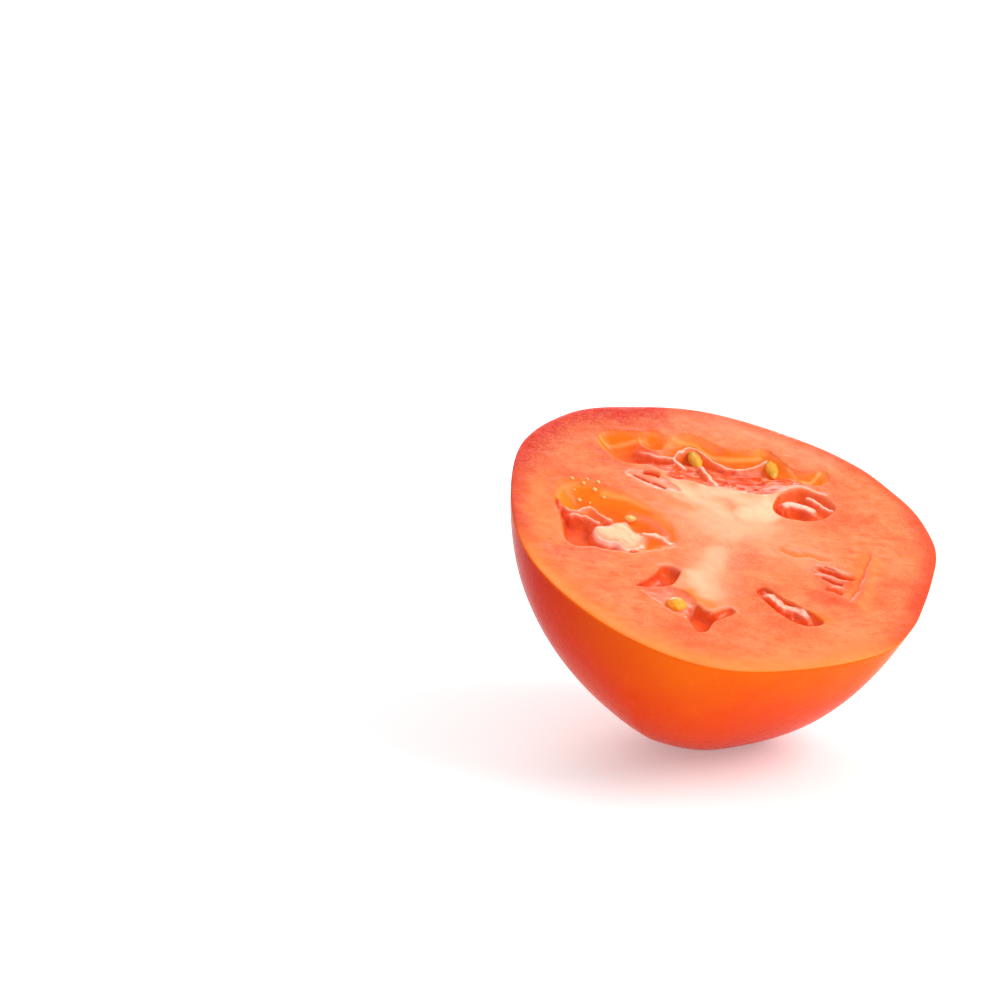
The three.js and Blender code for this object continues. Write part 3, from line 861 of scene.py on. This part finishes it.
@dataclass(frozen=True)
class FleshFinish:
    """Wet cut flesh, with its core, rim, chambers and wet film, and with painted glow, highlights and
    shade.
    """

    flesh: Colour = (0.80, 0.145, 0.034)
    pale: Colour = (0.87, 0.240, 0.080)
    rim: Colour = (0.72, 0.062, 0.010)
    blush: Colour = (0.60, 0.016, 0.006)
    # Painted light: the pale orange of highlights and of glow near the rim.
    light: Colour = (0.88, 0.22, 0.04)
    # Painted highlight along the lips of the glowing walls.
    lip: Colour = (0.95, 0.40, 0.11)
    core: Colour = (0.83, 0.39, 0.21)
    cream: Colour = (0.93, 0.59, 0.36)
    deep: Colour = (0.54, 0.022, 0.003)
    # Red-orange clouds in the walls and floors, and the painted glow of the floors.
    ember: Colour = (0.76, 0.085, 0.006)
    # Painted glow of the walls and the front rim, also painted orange shade.
    amber: Colour = (0.88, 0.165, 0.002)
    # Painted glow of the films.
    painted_film_glow: Colour = (0.50, 0.09, 0.045)
    film: Colour = (0.84, 0.27, 0.165)
    # Painted highlight on the crest lines of the film.
    crest: Colour = (0.96, 0.58, 0.45)

    def build(self) -> bpy.types.Material:
        """Build the material."""
        tree = Shader("cut flesh", {
            "IOR": 1.25,
            "Coat Roughness": 0.1,
            "Coat IOR": 1.25,
            "Subsurface Weight": 0.3,
            "Subsurface Radius": (1.0, 0.28, 0.1),
            "Subsurface Scale": 0.0025,
            "Emission Strength": 0.24,
        })
        rim, light, core, blush, amber, deep, mottle, film = map(tree.mask, (
            Mask.RIM, Mask.LIGHT, Mask.CORE, Mask.BLUSH, Mask.PAINTED_GLOW_AND_SHADE, Mask.DEEP, Mask.MOTTLE_AND_REFLECTION, Mask.FILM_AND_HIGHLIGHT,
        ))
        grain, broad = tree.grain(1.0), tree.grain(4.5)["Clouds"]
        fine, clouds, streaks = grain["Grain"], grain["Clouds"], grain["Streaks"]
        # Painted glow on the far walls, with painted highlights along their lips.
        walls = tree.layers(
            self.amber,
            (tree.ramp(broad, 0.3, 1.0, 0.0, 0.5), self.ember),
            (tree.ramp(light, 0.1, 1.0, 0.0, 0.8), self.lip),
        )
        floors = tree.layers(self.deep, (clouds, self.ember), (tree.times(amber, 0.8), self.ember))
        # Pale film that turns into a painted highlight on the crest lines.
        film_with_highlight = tree.mix(tree.ramp(film, 0.5, 0.85, 0.0, 1.0), self.film, self.crest)
        colour = tree.layers(
            self.plain_flesh(tree, fine, clouds, streaks, broad),
            (tree.times(rim, 0.8), self.rim),
            # Painted highlights and glow.
            (tree.times(light, 0.75), self.light),
            (core, self.core),
            (tree.ramp(core, 0.5, 1.0, 0.0, 0.7), self.cream),
            (tree.times(blush, tree.ramp(fine, 0.2, 0.8, 0.55, 1.0)), self.blush),
            (amber, walls),
            (deep, floors),
            # Pink streaks on the mottled bed, partly painted reflection.
            (tree.times(mottle, tree.ramp(streaks, 0.55, 0.9, 0.0, 0.75)), self.film),
            (film, film_with_highlight),
        )
        wet = tree.math("MAXIMUM", tree.math("MAXIMUM", deep, film), tree.times(amber, 0.3))
        waves = tree.times(clouds, tree.ramp(wet, 0.0, 0.6, 0.0, 3.0))
        # Painted glow: emission that lifts the walls, the floors and the films out of their shade.
        glow = tree.layers((0.0, 0.0, 0.0), (amber, self.amber), (deep, self.ember), (film, self.painted_film_glow))
        tree.feed("Base Color", colour)
        tree.feed("Emission Color", glow)
        tree.feed("Coat Weight", tree.ramp(wet, 0.0, 0.9, 0.06, 0.55))
        tree.feed("Roughness", tree.ramp(wet, 0.0, 0.9, 0.45, 0.26))
        tree.feed_bump(tree.math("ADD", fine, waves), 0.00005, 0.35)
        return tree.material

    def plain_flesh(
        self, tree: Tree, fine: Socket, clouds: Socket, streaks: Socket, broad: Socket
    ) -> Socket:
        """Mix the flesh away from all masks, with pale clouds and with red specks and lines."""
        specks = tree.times(tree.ramp(fine, 0.35, 1.0, 0.0, 1.0), tree.ramp(broad, 0.0, 0.9, 0.7, 0.15))
        lines = tree.times(tree.ramp(streaks, 0.55, 1.0, 0.0, 0.5), tree.ramp(broad, 0.2, 0.8, 0.2, 1.0))
        return tree.layers(
            self.flesh,
            (clouds, self.pale),
            (tree.ramp(broad, 0.45, 1.0, 0.0, 0.8), self.pale),
            (tree.ramp(broad, 0.0, 0.4, 0.4, 0.0), self.rim),
            (specks, self.rim),
            (lines, self.rim),
        )


@dataclass(frozen=True)
class SkinFinish:
    """Smooth glossy skin with a painted orange glow under the rim, darker red towards the bottom, and a
    painted red reflection and shade on one side.
    """

    # Painted glow just under the rim.
    glow: Colour = (0.95, 0.150, 0.003)
    orange: Colour = (0.90, 0.085, 0.004)
    red: Colour = (0.70, 0.026, 0.004)
    # Painted red reflection and shade.
    reflection_and_shade_red: Colour = (0.60, 0.008, 0.002)
    fleck: Colour = (0.95, 0.30, 0.06)

    def build(self) -> bpy.types.Material:
        """Build the material."""
        tree = Shader("skin", {
            "IOR": 1.08,
            "Coat Roughness": 0.12,
            "Coat IOR": 1.3,
            "Coat Weight": 0.1,
            "Specular IOR Level": 0.5,
            "Subsurface Weight": 0.25,
            "Subsurface Radius": (1.0, 0.25, 0.08),
            "Subsurface Scale": 0.003,
        })
        grain, broad = tree.grain(3.5), tree.grain(9.0)["Clouds"]
        specks = tree.grain(1.6)["Grain"]
        tone = tree.math("ADD", tree.mask(Mask.TONE), tree.ramp(grain["Clouds"], 0.0, 1.0, -0.05, 0.05))
        tone = tree.math("ADD", tone, tree.ramp(broad, 0.0, 1.0, -0.09, 0.09))
        tree.feed("Base Color", tree.layers(
            self.glow,
            (tree.ramp(tone, 0.0, 0.35, 0.0, 1.0), self.orange),
            (tree.ramp(tone, 0.25, 0.95, 0.0, 1.0), self.red),
            # Painted red reflection and shade on one side.
            (tree.mask(Mask.SIDE), self.reflection_and_shade_red),
            (tree.ramp(specks, 0.8, 1.0, 0.0, 0.16), self.fleck),
        ))
        tree.feed("Roughness", tree.ramp(grain["Grain"], 0.0, 1.0, 0.24, 0.34))
        tree.feed_bump(grain["Clouds"], 0.00006, 0.1)
        return tree.material


@dataclass(frozen=True)
class SeedFinish:
    """Olive-yellow seed coat in a film of gel."""

    coat: Colour = (0.90, 0.38, 0.012)
    dark: Colour = (0.34, 0.22, 0.010)

    def build(self, name: str) -> bpy.types.Material:
        """Build the material under a name."""
        tree = Shader(name, {
            "Coat Weight": 0.3,
            "Coat Roughness": 0.1,
            "Specular IOR Level": 0.3,
            "Subsurface Weight": 0.2,
            "Subsurface Radius": (1.0, 0.6, 0.2),
            "Subsurface Scale": 0.0008,
        })
        grain = tree.grain(0.7)
        shade = tree.math("ADD", tree.ramp(grain["Clouds"], 0.0, 1.0, -0.35, 0.35), tree.mask(Mask.TONE))
        tree.feed("Base Color", tree.mix(tree.ramp(shade, 0.0, 1.0, 0.0, 1.0), self.dark, self.coat))
        tree.feed("Roughness", tree.ramp(grain["Grain"], 0.0, 1.0, 0.25, 0.5))
        tree.feed_bump(grain["Grain"], 0.00005, 0.3)
        return tree.material


@dataclass(frozen=True)
class JuiceFinish:
    """Drops of cloudy juice that take the flesh's orange."""

    tint: Colour = (0.95, 0.40, 0.08)
    cloudy: Colour = (0.98, 0.60, 0.26)

    def build(self) -> bpy.types.Material:
        """Build the material."""
        tree = Shader("juice", {
            "IOR": 1.34,
            "Coat Weight": 0.5,
            "Coat Roughness": 0.05,
            "Subsurface Weight": 0.6,
            "Subsurface Radius": (1.0, 0.5, 0.2),
            "Subsurface Scale": 0.0006,
        })
        grain = tree.grain(1.5)
        tree.feed("Base Color", tree.mix(grain["Clouds"], self.tint, self.cloudy))
        tree.feed("Roughness", tree.ramp(grain["Grain"], 0.0, 1.0, 0.02, 0.06))
        return tree.material


def put(name: str, data: bpy.types.ID) -> bpy.types.Object:
    """Put a new object into the scene."""
    thing = bpy.data.objects.new(name, data)
    bpy.context.scene.collection.objects.link(thing)
    return thing


def make_piece(
    name: str, places: np.ndarray, faces: list, materials: list[bpy.types.Material]
) -> bpy.types.Object:
    """Make a smooth piece of the fruit that rides on it.

    Args:
        name: Name of the piece.
        places: Vertices in metres in the room.
        faces: Vertex numbers of each face.
        materials: Materials of its slots.

    Returns:
        The new object.
    """
    mesh = bpy.data.meshes.new(name)
    mesh.from_pydata(places.tolist(), [], faces)
    mesh.shade_smooth()
    for material in materials:
        mesh.materials.append(material)
    piece = put(name, mesh)
    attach(piece, "root")
    LOG.info("%s: %d vertices, %d faces", name, len(mesh.vertices), len(mesh.polygons))
    return piece


def ball_angles(rings: int, sides: int) -> tuple[np.ndarray, np.ndarray]:
    """Give the angle from the pole and the heading of each vertex of a ball, without its poles."""
    polar = np.pi * np.arange(1, rings) / rings
    heading = 2 * np.pi * np.arange(sides) / sides
    return np.repeat(polar, sides), np.tile(heading, rings - 1)


def ball_faces(base: int, rings: int, sides: int) -> list[tuple[int, ...]]:
    """Join the vertices of a ball, ring after ring and then its two poles.

    Args:
        base: Number of the first vertex of the first ring.
        rings: Bands of faces from pole to pole.
        sides: Vertices round each ring.

    Returns:
        Vertex numbers of each face.
    """
    top = base + (rings - 1) * sides
    last = top - sides
    faces = []
    for side in range(sides):
        after = (side + 1) % sides
        faces.append((top, base + side, base + after))
        for here in range(base, last, sides):
            faces.append((here + side, here + sides + side, here + sides + after, here + after))
        faces.append((last + side, top + 1, last + after))
    return faces


def write_values(mesh: bpy.types.Mesh, mask: Mask, values: np.ndarray) -> None:
    """Let a mesh carry a value at each vertex for its material."""
    layer = mesh.attributes.new(mask.value, "FLOAT", "POINT")
    layer.data.foreach_set("value", values.astype(np.float32))


@dataclass
class CutFace:
    """The cut face: a fine sheet of triangles that the features shape and tint.

    Its steps are the spacing of its points, and its margins are how far the fine points of the
    chambers and folds reach out into the flesh.
    """

    rim_steps: int = 8
    rim_rings: tuple[float, ...] = (0.0, 0.1, 0.25)
    flesh_step: float = 0.42
    chamber_step: float = 0.14
    chamber_margin: float = 0.75
    fold_margin: float = 0.3
    seam: float = 0.05
    span: float = 33.0
    shake: float = 0.12
    shake_seed: int = 7
    rim_gap: float = 0.5
    edge_round: float = 0.12
    fine_swell: float = 0.05
    broad_swell: float = 0.06
    rim: Curve = field(init=False)

    def __post_init__(self) -> None:
        """Draw the rim."""
        self.rim = Curve(RIM, closed=True, steps=self.rim_steps)

    def lattice(self, step: float) -> np.ndarray:
        """Lay a triangular lattice over the face, slightly shaken."""
        u = np.arange(-self.span, self.span, step)
        v = np.arange(-self.span, self.span, step * math.sqrt(3) / 2)
        grid = np.stack(np.meshgrid(u, v), -1)
        grid[1::2, :, 0] += step / 2
        places = grid.reshape(-1, 2)
        moves = np.random.default_rng(self.shake_seed).uniform(-self.shake, self.shake, places.shape)
        return places + moves * step

    def places(self) -> np.ndarray:
        """Gather the points of the sheet, the rim first."""
        coarse = self.lattice(self.flesh_step)
        fine = self.lattice(self.chamber_step)
        zones = np.zeros(len(fine), dtype=bool)
        close = np.zeros(len(coarse), dtype=bool)
        curves = [(Curve(hollow.outline, closed=True), self.chamber_margin) for hollow in HOLLOWS]
        curves += [(Curve(fold.line), max(fold.left, fold.right) + self.fold_margin) for fold in FOLDS]
        for curve, margin in curves:
            zones |= curve.covers(fine, margin)
            close |= curve.covers(coarse, margin + self.seam)
        coarse, fine = coarse[~close], fine[zones]
        inner = self.rim.contains(coarse) & (self.rim.nearest(coarse, 1.0)[0] > self.rim_gap)
        run = np.roll(self.rim.points, -1, axis=0) - np.roll(self.rim.points, 1, axis=0)
        inward = np.stack([run[:, 1], -run[:, 0]], 1) / np.linalg.norm(run, axis=1)[:, None]
        if not self.rim.contains(self.rim.points + 0.05 * inward).all():
            inward = -inward
        rings = [self.rim.points + inward * inset for inset in self.rim_rings]
        return np.vstack([*rings, coarse[inner], fine])

    def relief(self, places: np.ndarray) -> Relief:
        """Work out the height and the masks of the face at some places."""
        masks = {mask: np.zeros(len(places)) for mask in Mask}
        height = self.fine_swell * Lumps.FLESH.at(places) + self.broad_swell * Lumps.SWELL.at(places)
        relief = Relief(places, height, masks)
        for mask, patches in PATCHES.items():
            for patch in patches:
                patch.paint(relief, mask)
        for cut in (*HOLLOWS, *FOLDS):
            cut.carve(relief)
        for stand in (*ISLANDS, *RIDGES):
            stand.raise_on(relief)
        edge = self.rim.nearest(places, 1.0)[0]
        self.tint_rim(relief, edge)
        relief.height = relief.height * soft(edge / self.rim_gap)
        relief.height -= self.edge_round * (1 - np.clip(edge / self.rim_rings[-1], 0.0, 1.0)) ** 2
        return relief

    @staticmethod
    def tint_rim(relief: Relief, edge: np.ndarray) -> None:
        """Redden the flesh along the rim and paint a glow at the front, as of light shining through it.
        """
        places = relief.places
        front = soft((-places[:, 1] - 0.25 * places[:, 0] - 9.0) / 9.0)
        reach = 3.4 + 1.2 * Lumps.RIM.at(places)
        relief.raise_mask(Mask.RIM, (1 - soft(edge / reach)) * (1 - 0.7 * front))
        # Painted glow through the flesh at the front.
        relief.raise_mask(Mask.LIGHT, 0.5 * (1 - soft(edge / (1.9 * reach))) * front)
        relief.raise_mask(Mask.PAINTED_GLOW_AND_SHADE, 0.7 * (1 - soft(edge / (1.2 * reach))) * front)


@dataclass
class SkinBody:
    """The body under the rim, down to the blossom end."""

    depth: float = 31.2
    rim_centre: Point = (-0.5, 0.4)
    pole_shift: Point = (2.4, -4.0)
    taper: float = 2.0
    taper_swing: float = 29.0
    taper_heading: float = -23.0
    power: float = 1.2
    spread: float = 1.05
    clearance: float = 0.02
    furrows: int = 5
    furrow_depth: float = 0.35
    dent_depth: float = 0.07
    rings: int = 64
    scar_radius: float = 1.4
    scar_depth: float = 0.8
    # Heading of the side with the painted red reflection and shade, in degrees.
    reflection_and_shade_heading: float = 165.0

    def rings_below(self, rim: np.ndarray, edge: float) -> np.ndarray:
        """Run the skin down from the rim.

        Args:
            rim: The points of the rim on the face.
            edge: How far the first ring lies under the face.

        Returns:
            Rows of u, v and w, ring after ring, with the pole last.
        """
        away = rim - np.array(self.rim_centre)
        heading = np.arctan2(away[:, 1], away[:, 0])
        radius = np.linalg.norm(away, axis=1)
        swing = self.taper_swing * np.cos(heading - math.radians(self.taper_heading))
        start = np.radians(np.maximum(self.taper + swing, 0.0))
        places = []
        for ring in range(1, self.rings):
            along = (ring / self.rings) ** self.spread
            slope = start + (math.pi / 2 - start) * along
            fall = (np.sin(slope) - np.sin(start)) / (1 - np.sin(start))
            shrink = (np.cos(slope) / np.cos(start)) ** self.power
            waves = (1 + np.cos(self.furrows * heading)) / 2
            furrow = self.furrow_depth * np.sin(math.pi * fall) * waves
            dent = self.dent_depth * np.sin(3 * heading + 5 * fall) * np.sin(math.pi * fall)
            reach = shrink * (1 - (furrow + dent) / radius)
            flat = np.array(self.rim_centre) + away * reach[:, None] + np.outer(fall, self.pole_shift)
            drop = -self.depth * fall
            places.append(np.column_stack([flat, np.minimum(drop, -edge)]))
        pole = (*np.add(self.rim_centre, self.pole_shift), -self.depth)
        body = np.vstack([*places, [pole]])
        gap = np.linalg.norm(body - np.array(pole), axis=1)
        body[:, 2] += self.scar_depth * np.exp(-((gap / self.scar_radius) ** 2))
        return body

    def tones(self, body: np.ndarray) -> dict[Mask, np.ndarray]:
        """Give how far down each place of the body lies and how much it faces the side with the painted
        red reflection and shade.
        """
        fall = np.clip(-body[:, 2] / self.depth, 0.0, 1.0)
        away = body[:, :2] - np.outer(fall, self.pole_shift)
        turn = np.arctan2(away[:, 1], away[:, 0]) - math.radians(self.reflection_and_shade_heading)
        return {Mask.TONE: fall, Mask.SIDE: soft((np.cos(turn) + 0.25) / 1.25) * soft(1.4 - fall * 1.6)}


@dataclass
class TomatoBody:
    """The whole half as one closed mesh: the cut face in flesh and the body in skin."""

    face: CutFace = field(default_factory=CutFace)
    skin: SkinBody = field(default_factory=SkinBody)

    def build(self) -> None:
        """Build the piece in place of the solid."""
        sheet, triangles, rim = self.triangulate()
        relief = self.face.relief(sheet)
        self.soften_walls(relief, triangles)
        body = self.skin.rings_below(self.face.rim.points, self.face.edge_round + self.skin.clearance)
        faces = triangles.tolist() + self.skin_faces(rim, len(sheet))
        room = POSE.to_room(np.vstack([np.column_stack([sheet, relief.height]), body]))
        room[:, 2] = np.maximum(room[:, 2], 0.0)
        piece = make_piece("tomato_half_body", room, faces, [FleshFinish().build(), SkinFinish().build()])
        in_skin = np.arange(len(faces)) >= len(triangles)
        piece.data.polygons.foreach_set("material_index", in_skin.astype(np.int32))
        self.write_masks(piece.data, relief, body)
        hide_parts(NODE)

    def triangulate(self) -> tuple[np.ndarray, np.ndarray, list[int]]:
        """Fill the face with triangles.

        Returns:
            The points of the sheet, its triangles and the numbers of its rim points in order.
        """
        rim = self.face.rim.points
        border = list(range(len(rim)))
        if not self.counter_clockwise(rim):
            border.reverse()
        points = [Vector(place) for place in self.face.places().tolist()]
        result = delaunay_2d_cdt(points, [], [border], INSIDE_ONLY, MERGED, True)
        sheet = np.array([tuple(point) for point in result[0]])
        kept = {source: number for number, sources in enumerate(result[3]) for source in sources}
        return sheet, np.array(result[2]), [kept[source] for source in range(len(rim))]

    def skin_faces(self, rim: list[int], top: int) -> list[tuple[int, ...]]:
        """Join the face to the rings of skin under it, and the last ring to the pole.

        Args:
            rim: Numbers of the rim points of the face in order.
            top: Number of the first vertex of the skin.

        Returns:
            Vertex numbers of each face.
        """
        count = len(rim)
        last = top + (self.skin.rings - 2) * count
        faces = []
        for i in range(count):
            j = (i + 1) % count
            faces.append((rim[j], rim[i], top + i, top + j))
            for here in range(top, last, count):
                faces.append((here + j, here + i, here + count + i, here + count + j))
            faces.append((last + j, last + i, last + count))
        return faces

    @staticmethod
    def soften_walls(relief: Relief, triangles: np.ndarray, rounds: int = 36) -> None:
        """Smooth the walls under the painted glow where no film hangs, along the edges of the triangles.
        """
        ends = np.vstack([triangles[:, [0, 1]], triangles[:, [1, 2]], triangles[:, [2, 0]]])
        ends = np.vstack([ends, ends[:, ::-1]])
        count = len(relief.height)
        amber, film = relief.masks[Mask.PAINTED_GLOW_AND_SHADE], relief.masks[Mask.FILM_AND_HIGHLIGHT]
        share = 0.8 * soft(amber * 1.5) * (1 - soft(film * 2.0)) * soft(-relief.height * 2.0 - 0.4)
        around = np.maximum(np.bincount(ends[:, 0], minlength=count), 1)
        for _ in range(rounds):
            mean = np.bincount(ends[:, 0], relief.height[ends[:, 1]], count) / around
            relief.height = relief.height + share * (mean - relief.height)

    @staticmethod
    def counter_clockwise(outline: np.ndarray) -> bool:
        """Tell which way round an outline runs."""
        after = np.roll(outline, -1, axis=0)
        return float((outline[:, 0] * after[:, 1] - after[:, 0] * outline[:, 1]).sum()) > 0

    def write_masks(self, mesh: bpy.types.Mesh, relief: Relief, body: np.ndarray) -> None:
        """Write the masks of the face and the tones of the skin on the mesh."""
        tones = self.skin.tones(body)
        for mask in Mask:
            skin = tones.get(mask, np.zeros(len(body)))
            write_values(mesh, mask, np.concatenate([np.clip(relief.masks[mask], 0.0, 1.0), skin]))


@dataclass(frozen=True)
class Seed:
    """A flat seed with a pointed tip, half sunk in its gel."""

    name: str
    at: Point
    depth: float
    half: tuple[float, float, float]
    heading: float
    tip: float = 0.45
    finish: SeedFinish = SeedFinish()
    rings: int = 24
    sides: int = 36

    def build(self) -> None:
        """Build the seed."""
        turn = math.radians(self.heading)
        long, wide, high = self.half
        polar, heading = ball_angles(self.rings, self.sides)
        along = np.cos(polar)
        width = np.sin(polar) * (1 - self.tip * np.maximum(along, 0.0) ** 1.5)
        rough = 1 + 0.04 * np.sin(5 * heading + 9 * polar) + 0.03 * np.sin(11 * heading - 4 * polar)
        across, up = width * np.cos(heading) * wide * rough, width * np.sin(heading) * high * rough
        poles = [(long, 0.0, 0.0), (-long, 0.0, 0.0)]
        shape = np.vstack([np.column_stack([along * long, across, up]), poles])
        u = shape[:, 0] * math.cos(turn) - shape[:, 1] * math.sin(turn) + self.at[0]
        v = shape[:, 0] * math.sin(turn) + shape[:, 1] * math.cos(turn) + self.at[1]
        room = POSE.to_room(np.column_stack([u, v, shape[:, 2] - self.depth]))
        faces = ball_faces(0, self.rings, self.sides)
        piece = make_piece(self.name, room, faces, [self.finish.build(self.name)])
        write_values(piece.data, Mask.TONE, soft(0.75 + 0.5 * shape[:, 0] / long))


SEEDS = [
    Seed("seed_back_left", (-4.5, 19.4), 1.55, (2.3, 0.95, 0.75), -72),
    Seed("seed_back_right", (6.9, 20.5), 1.6, (2.5, 1.15, 0.85), -84),
    Seed("seed_left", (-13.7, 2.6), 1.2, (0.95, 0.5, 0.6), 15,
         finish=SeedFinish(coat=(0.95, 0.60, 0.20), dark=(0.80, 0.36, 0.06))),
    Seed("seed_round", (-6.7, -16.3), 0.55, (1.5, 1.4, 0.8), 0, tip=0.1,
         finish=SeedFinish(coat=(0.92, 0.36, 0.002), dark=(0.88, 0.20, 0.002))),
]


@dataclass(frozen=True)
class Juice:
    """Drops of juice that cling to the far wall of the left chamber."""

    drops: tuple[tuple[float, float, float], ...] = (
        (-22.5, 8.6, 0.26), (-20.3, 8.9, 0.24), (-20.8, 8.0, 0.32), (-18.7, 8.5, 0.3),
        (-19.1, 7.2, 0.34), (-21.1, 5.9, 0.34), (-17.7, 6.3, 0.26), (-20.9, 4.4, 0.24),
        (-22.0, 7.0, 0.18), (-19.6, 5.4, 0.2),
    )
    rings: int = 8
    sides: int = 16

    def build(self, face: CutFace) -> None:
        """Build all drops as one piece."""
        heights = face.relief(np.array([(u, v) for u, v, _ in self.drops])).height
        polar, heading = ball_angles(self.rings, self.sides)
        u = np.append(np.sin(polar) * np.cos(heading), (0.0, 0.0))
        v = np.append(np.sin(polar) * np.sin(heading), (0.0, 0.0))
        w = 0.15 + 0.8 * np.append(np.cos(polar), (1.0, -1.0))
        ball = np.column_stack([u, v, w])
        places, faces = [], []
        for (*at, radius), height in zip(self.drops, heights):
            faces += ball_faces(sum(map(len, places)), self.rings, self.sides)
            places.append((*at, height) + radius * ball)
        make_piece("juice_drops", POSE.to_room(np.vstack(places)), faces, [JuiceFinish().build()])


@dataclass(frozen=True)
class Lamp:
    """One large square lamp that looks at the fruit. Its place and size are in metres."""

    name: str
    at: tuple[float, float, float]
    size: float
    power: float

    def hang(self) -> None:
        """Hang the lamp."""
        light = bpy.data.lights.new(self.name, "AREA")
        light.size = self.size
        light.energy = self.power
        lamp = put(self.name, light)
        lamp.location = self.at
        lamp.rotation_euler = (Vector(self.at) - Vector(AIM)).to_track_quat("Z", "Y").to_euler()


@dataclass(frozen=True)
class Studio:
    """White floor, soft daylight all round and the camera at the viewer's place."""

    elevation: float = 16.0
    distance: float = 600.0
    left_of_face: float = 32.09
    over_face: float = 5.40
    lens: float = 152.1
    sensor: float = 36.0
    horizon_light: float = 0.25
    sky_light: float = 0.85
    floor_half: float = 1.5
    lamps: tuple[Lamp, ...] = (
        Lamp("key lamp", (0.50, -0.10, 0.42), 0.40, 3.4),
        Lamp("back lamp", (0.0, 0.62, 0.34), 0.45, 2.6),
    )

    def build(self) -> None:
        """Build the floor, the lights and the camera."""
        self.floor()
        self.lights()
        self.camera()

    def floor(self) -> None:
        """Lay the plain floor."""
        half = self.floor_half
        mesh = bpy.data.meshes.new("floor")
        corners = [(-half, -half, 0), (half, -half, 0), (half, half, 0), (-half, half, 0)]
        mesh.from_pydata(corners, [], [(0, 1, 2, 3)])
        mesh.materials.append(Shader("white floor", {
            "Base Color": (0.74, 0.74, 0.74, 1.0),
            "Roughness": 0.7,
            "Specular IOR Level": 0.1,
            "Emission Color": (1.0, 1.0, 1.0, 1.0),
            "Emission Strength": 0.3,
        }).material)
        floor = put("floor", mesh)

    def lights(self) -> None:
        """Set the white surroundings and the large soft lamps."""
        scene = bpy.context.scene
        scene.view_settings.view_transform = "Standard"
        world = scene.world or bpy.data.worlds.new("studio")
        scene.world = world
        world.use_nodes = True
        sky = Tree(world.node_tree)
        heading = sky.add("ShaderNodeTexCoord").outputs["Generated"]
        rise = sky.add("ShaderNodeSeparateXYZ", {0: heading}).outputs["Z"]
        background = world.node_tree.nodes["Background"]
        background.inputs["Color"].default_value = (1.0, 1.0, 1.0, 1.0)
        strength = sky.ramp(rise, 0.0, 0.7, self.horizon_light, self.sky_light)
        sky.tree.links.new(strength, background.inputs["Strength"])
        for lamp in self.lamps:
            lamp.hang()

    def camera(self) -> None:
        """Put the camera at the viewer's place."""
        tilt = math.radians(self.elevation)
        right = np.array((1.0, 0.0, 0.0))
        up = np.array((0.0, math.sin(tilt), math.cos(tilt)))
        back = np.array((0.0, -math.cos(tilt), math.sin(tilt)))
        place = np.array(FACE_ORIGIN) + self.distance * back
        place = place - self.left_of_face * right + self.over_face * up
        data = bpy.data.cameras.new("camera")
        data.lens = self.lens
        data.sensor_width = self.sensor
        camera = put("camera", data)
        camera.location = Vector(place * MM)
        camera.rotation_euler = (math.radians(90.0 - self.elevation), 0.0, 0.0)
        bpy.context.scene.camera = camera


def main() -> None:
    """Build the fruit and the studio in order."""
    Studio().build()
    body = TomatoBody()
    body.build()
    for seed in SEEDS:
        seed.build()
    Juice().build(body.face)


if __name__ == "__main__":
    main()
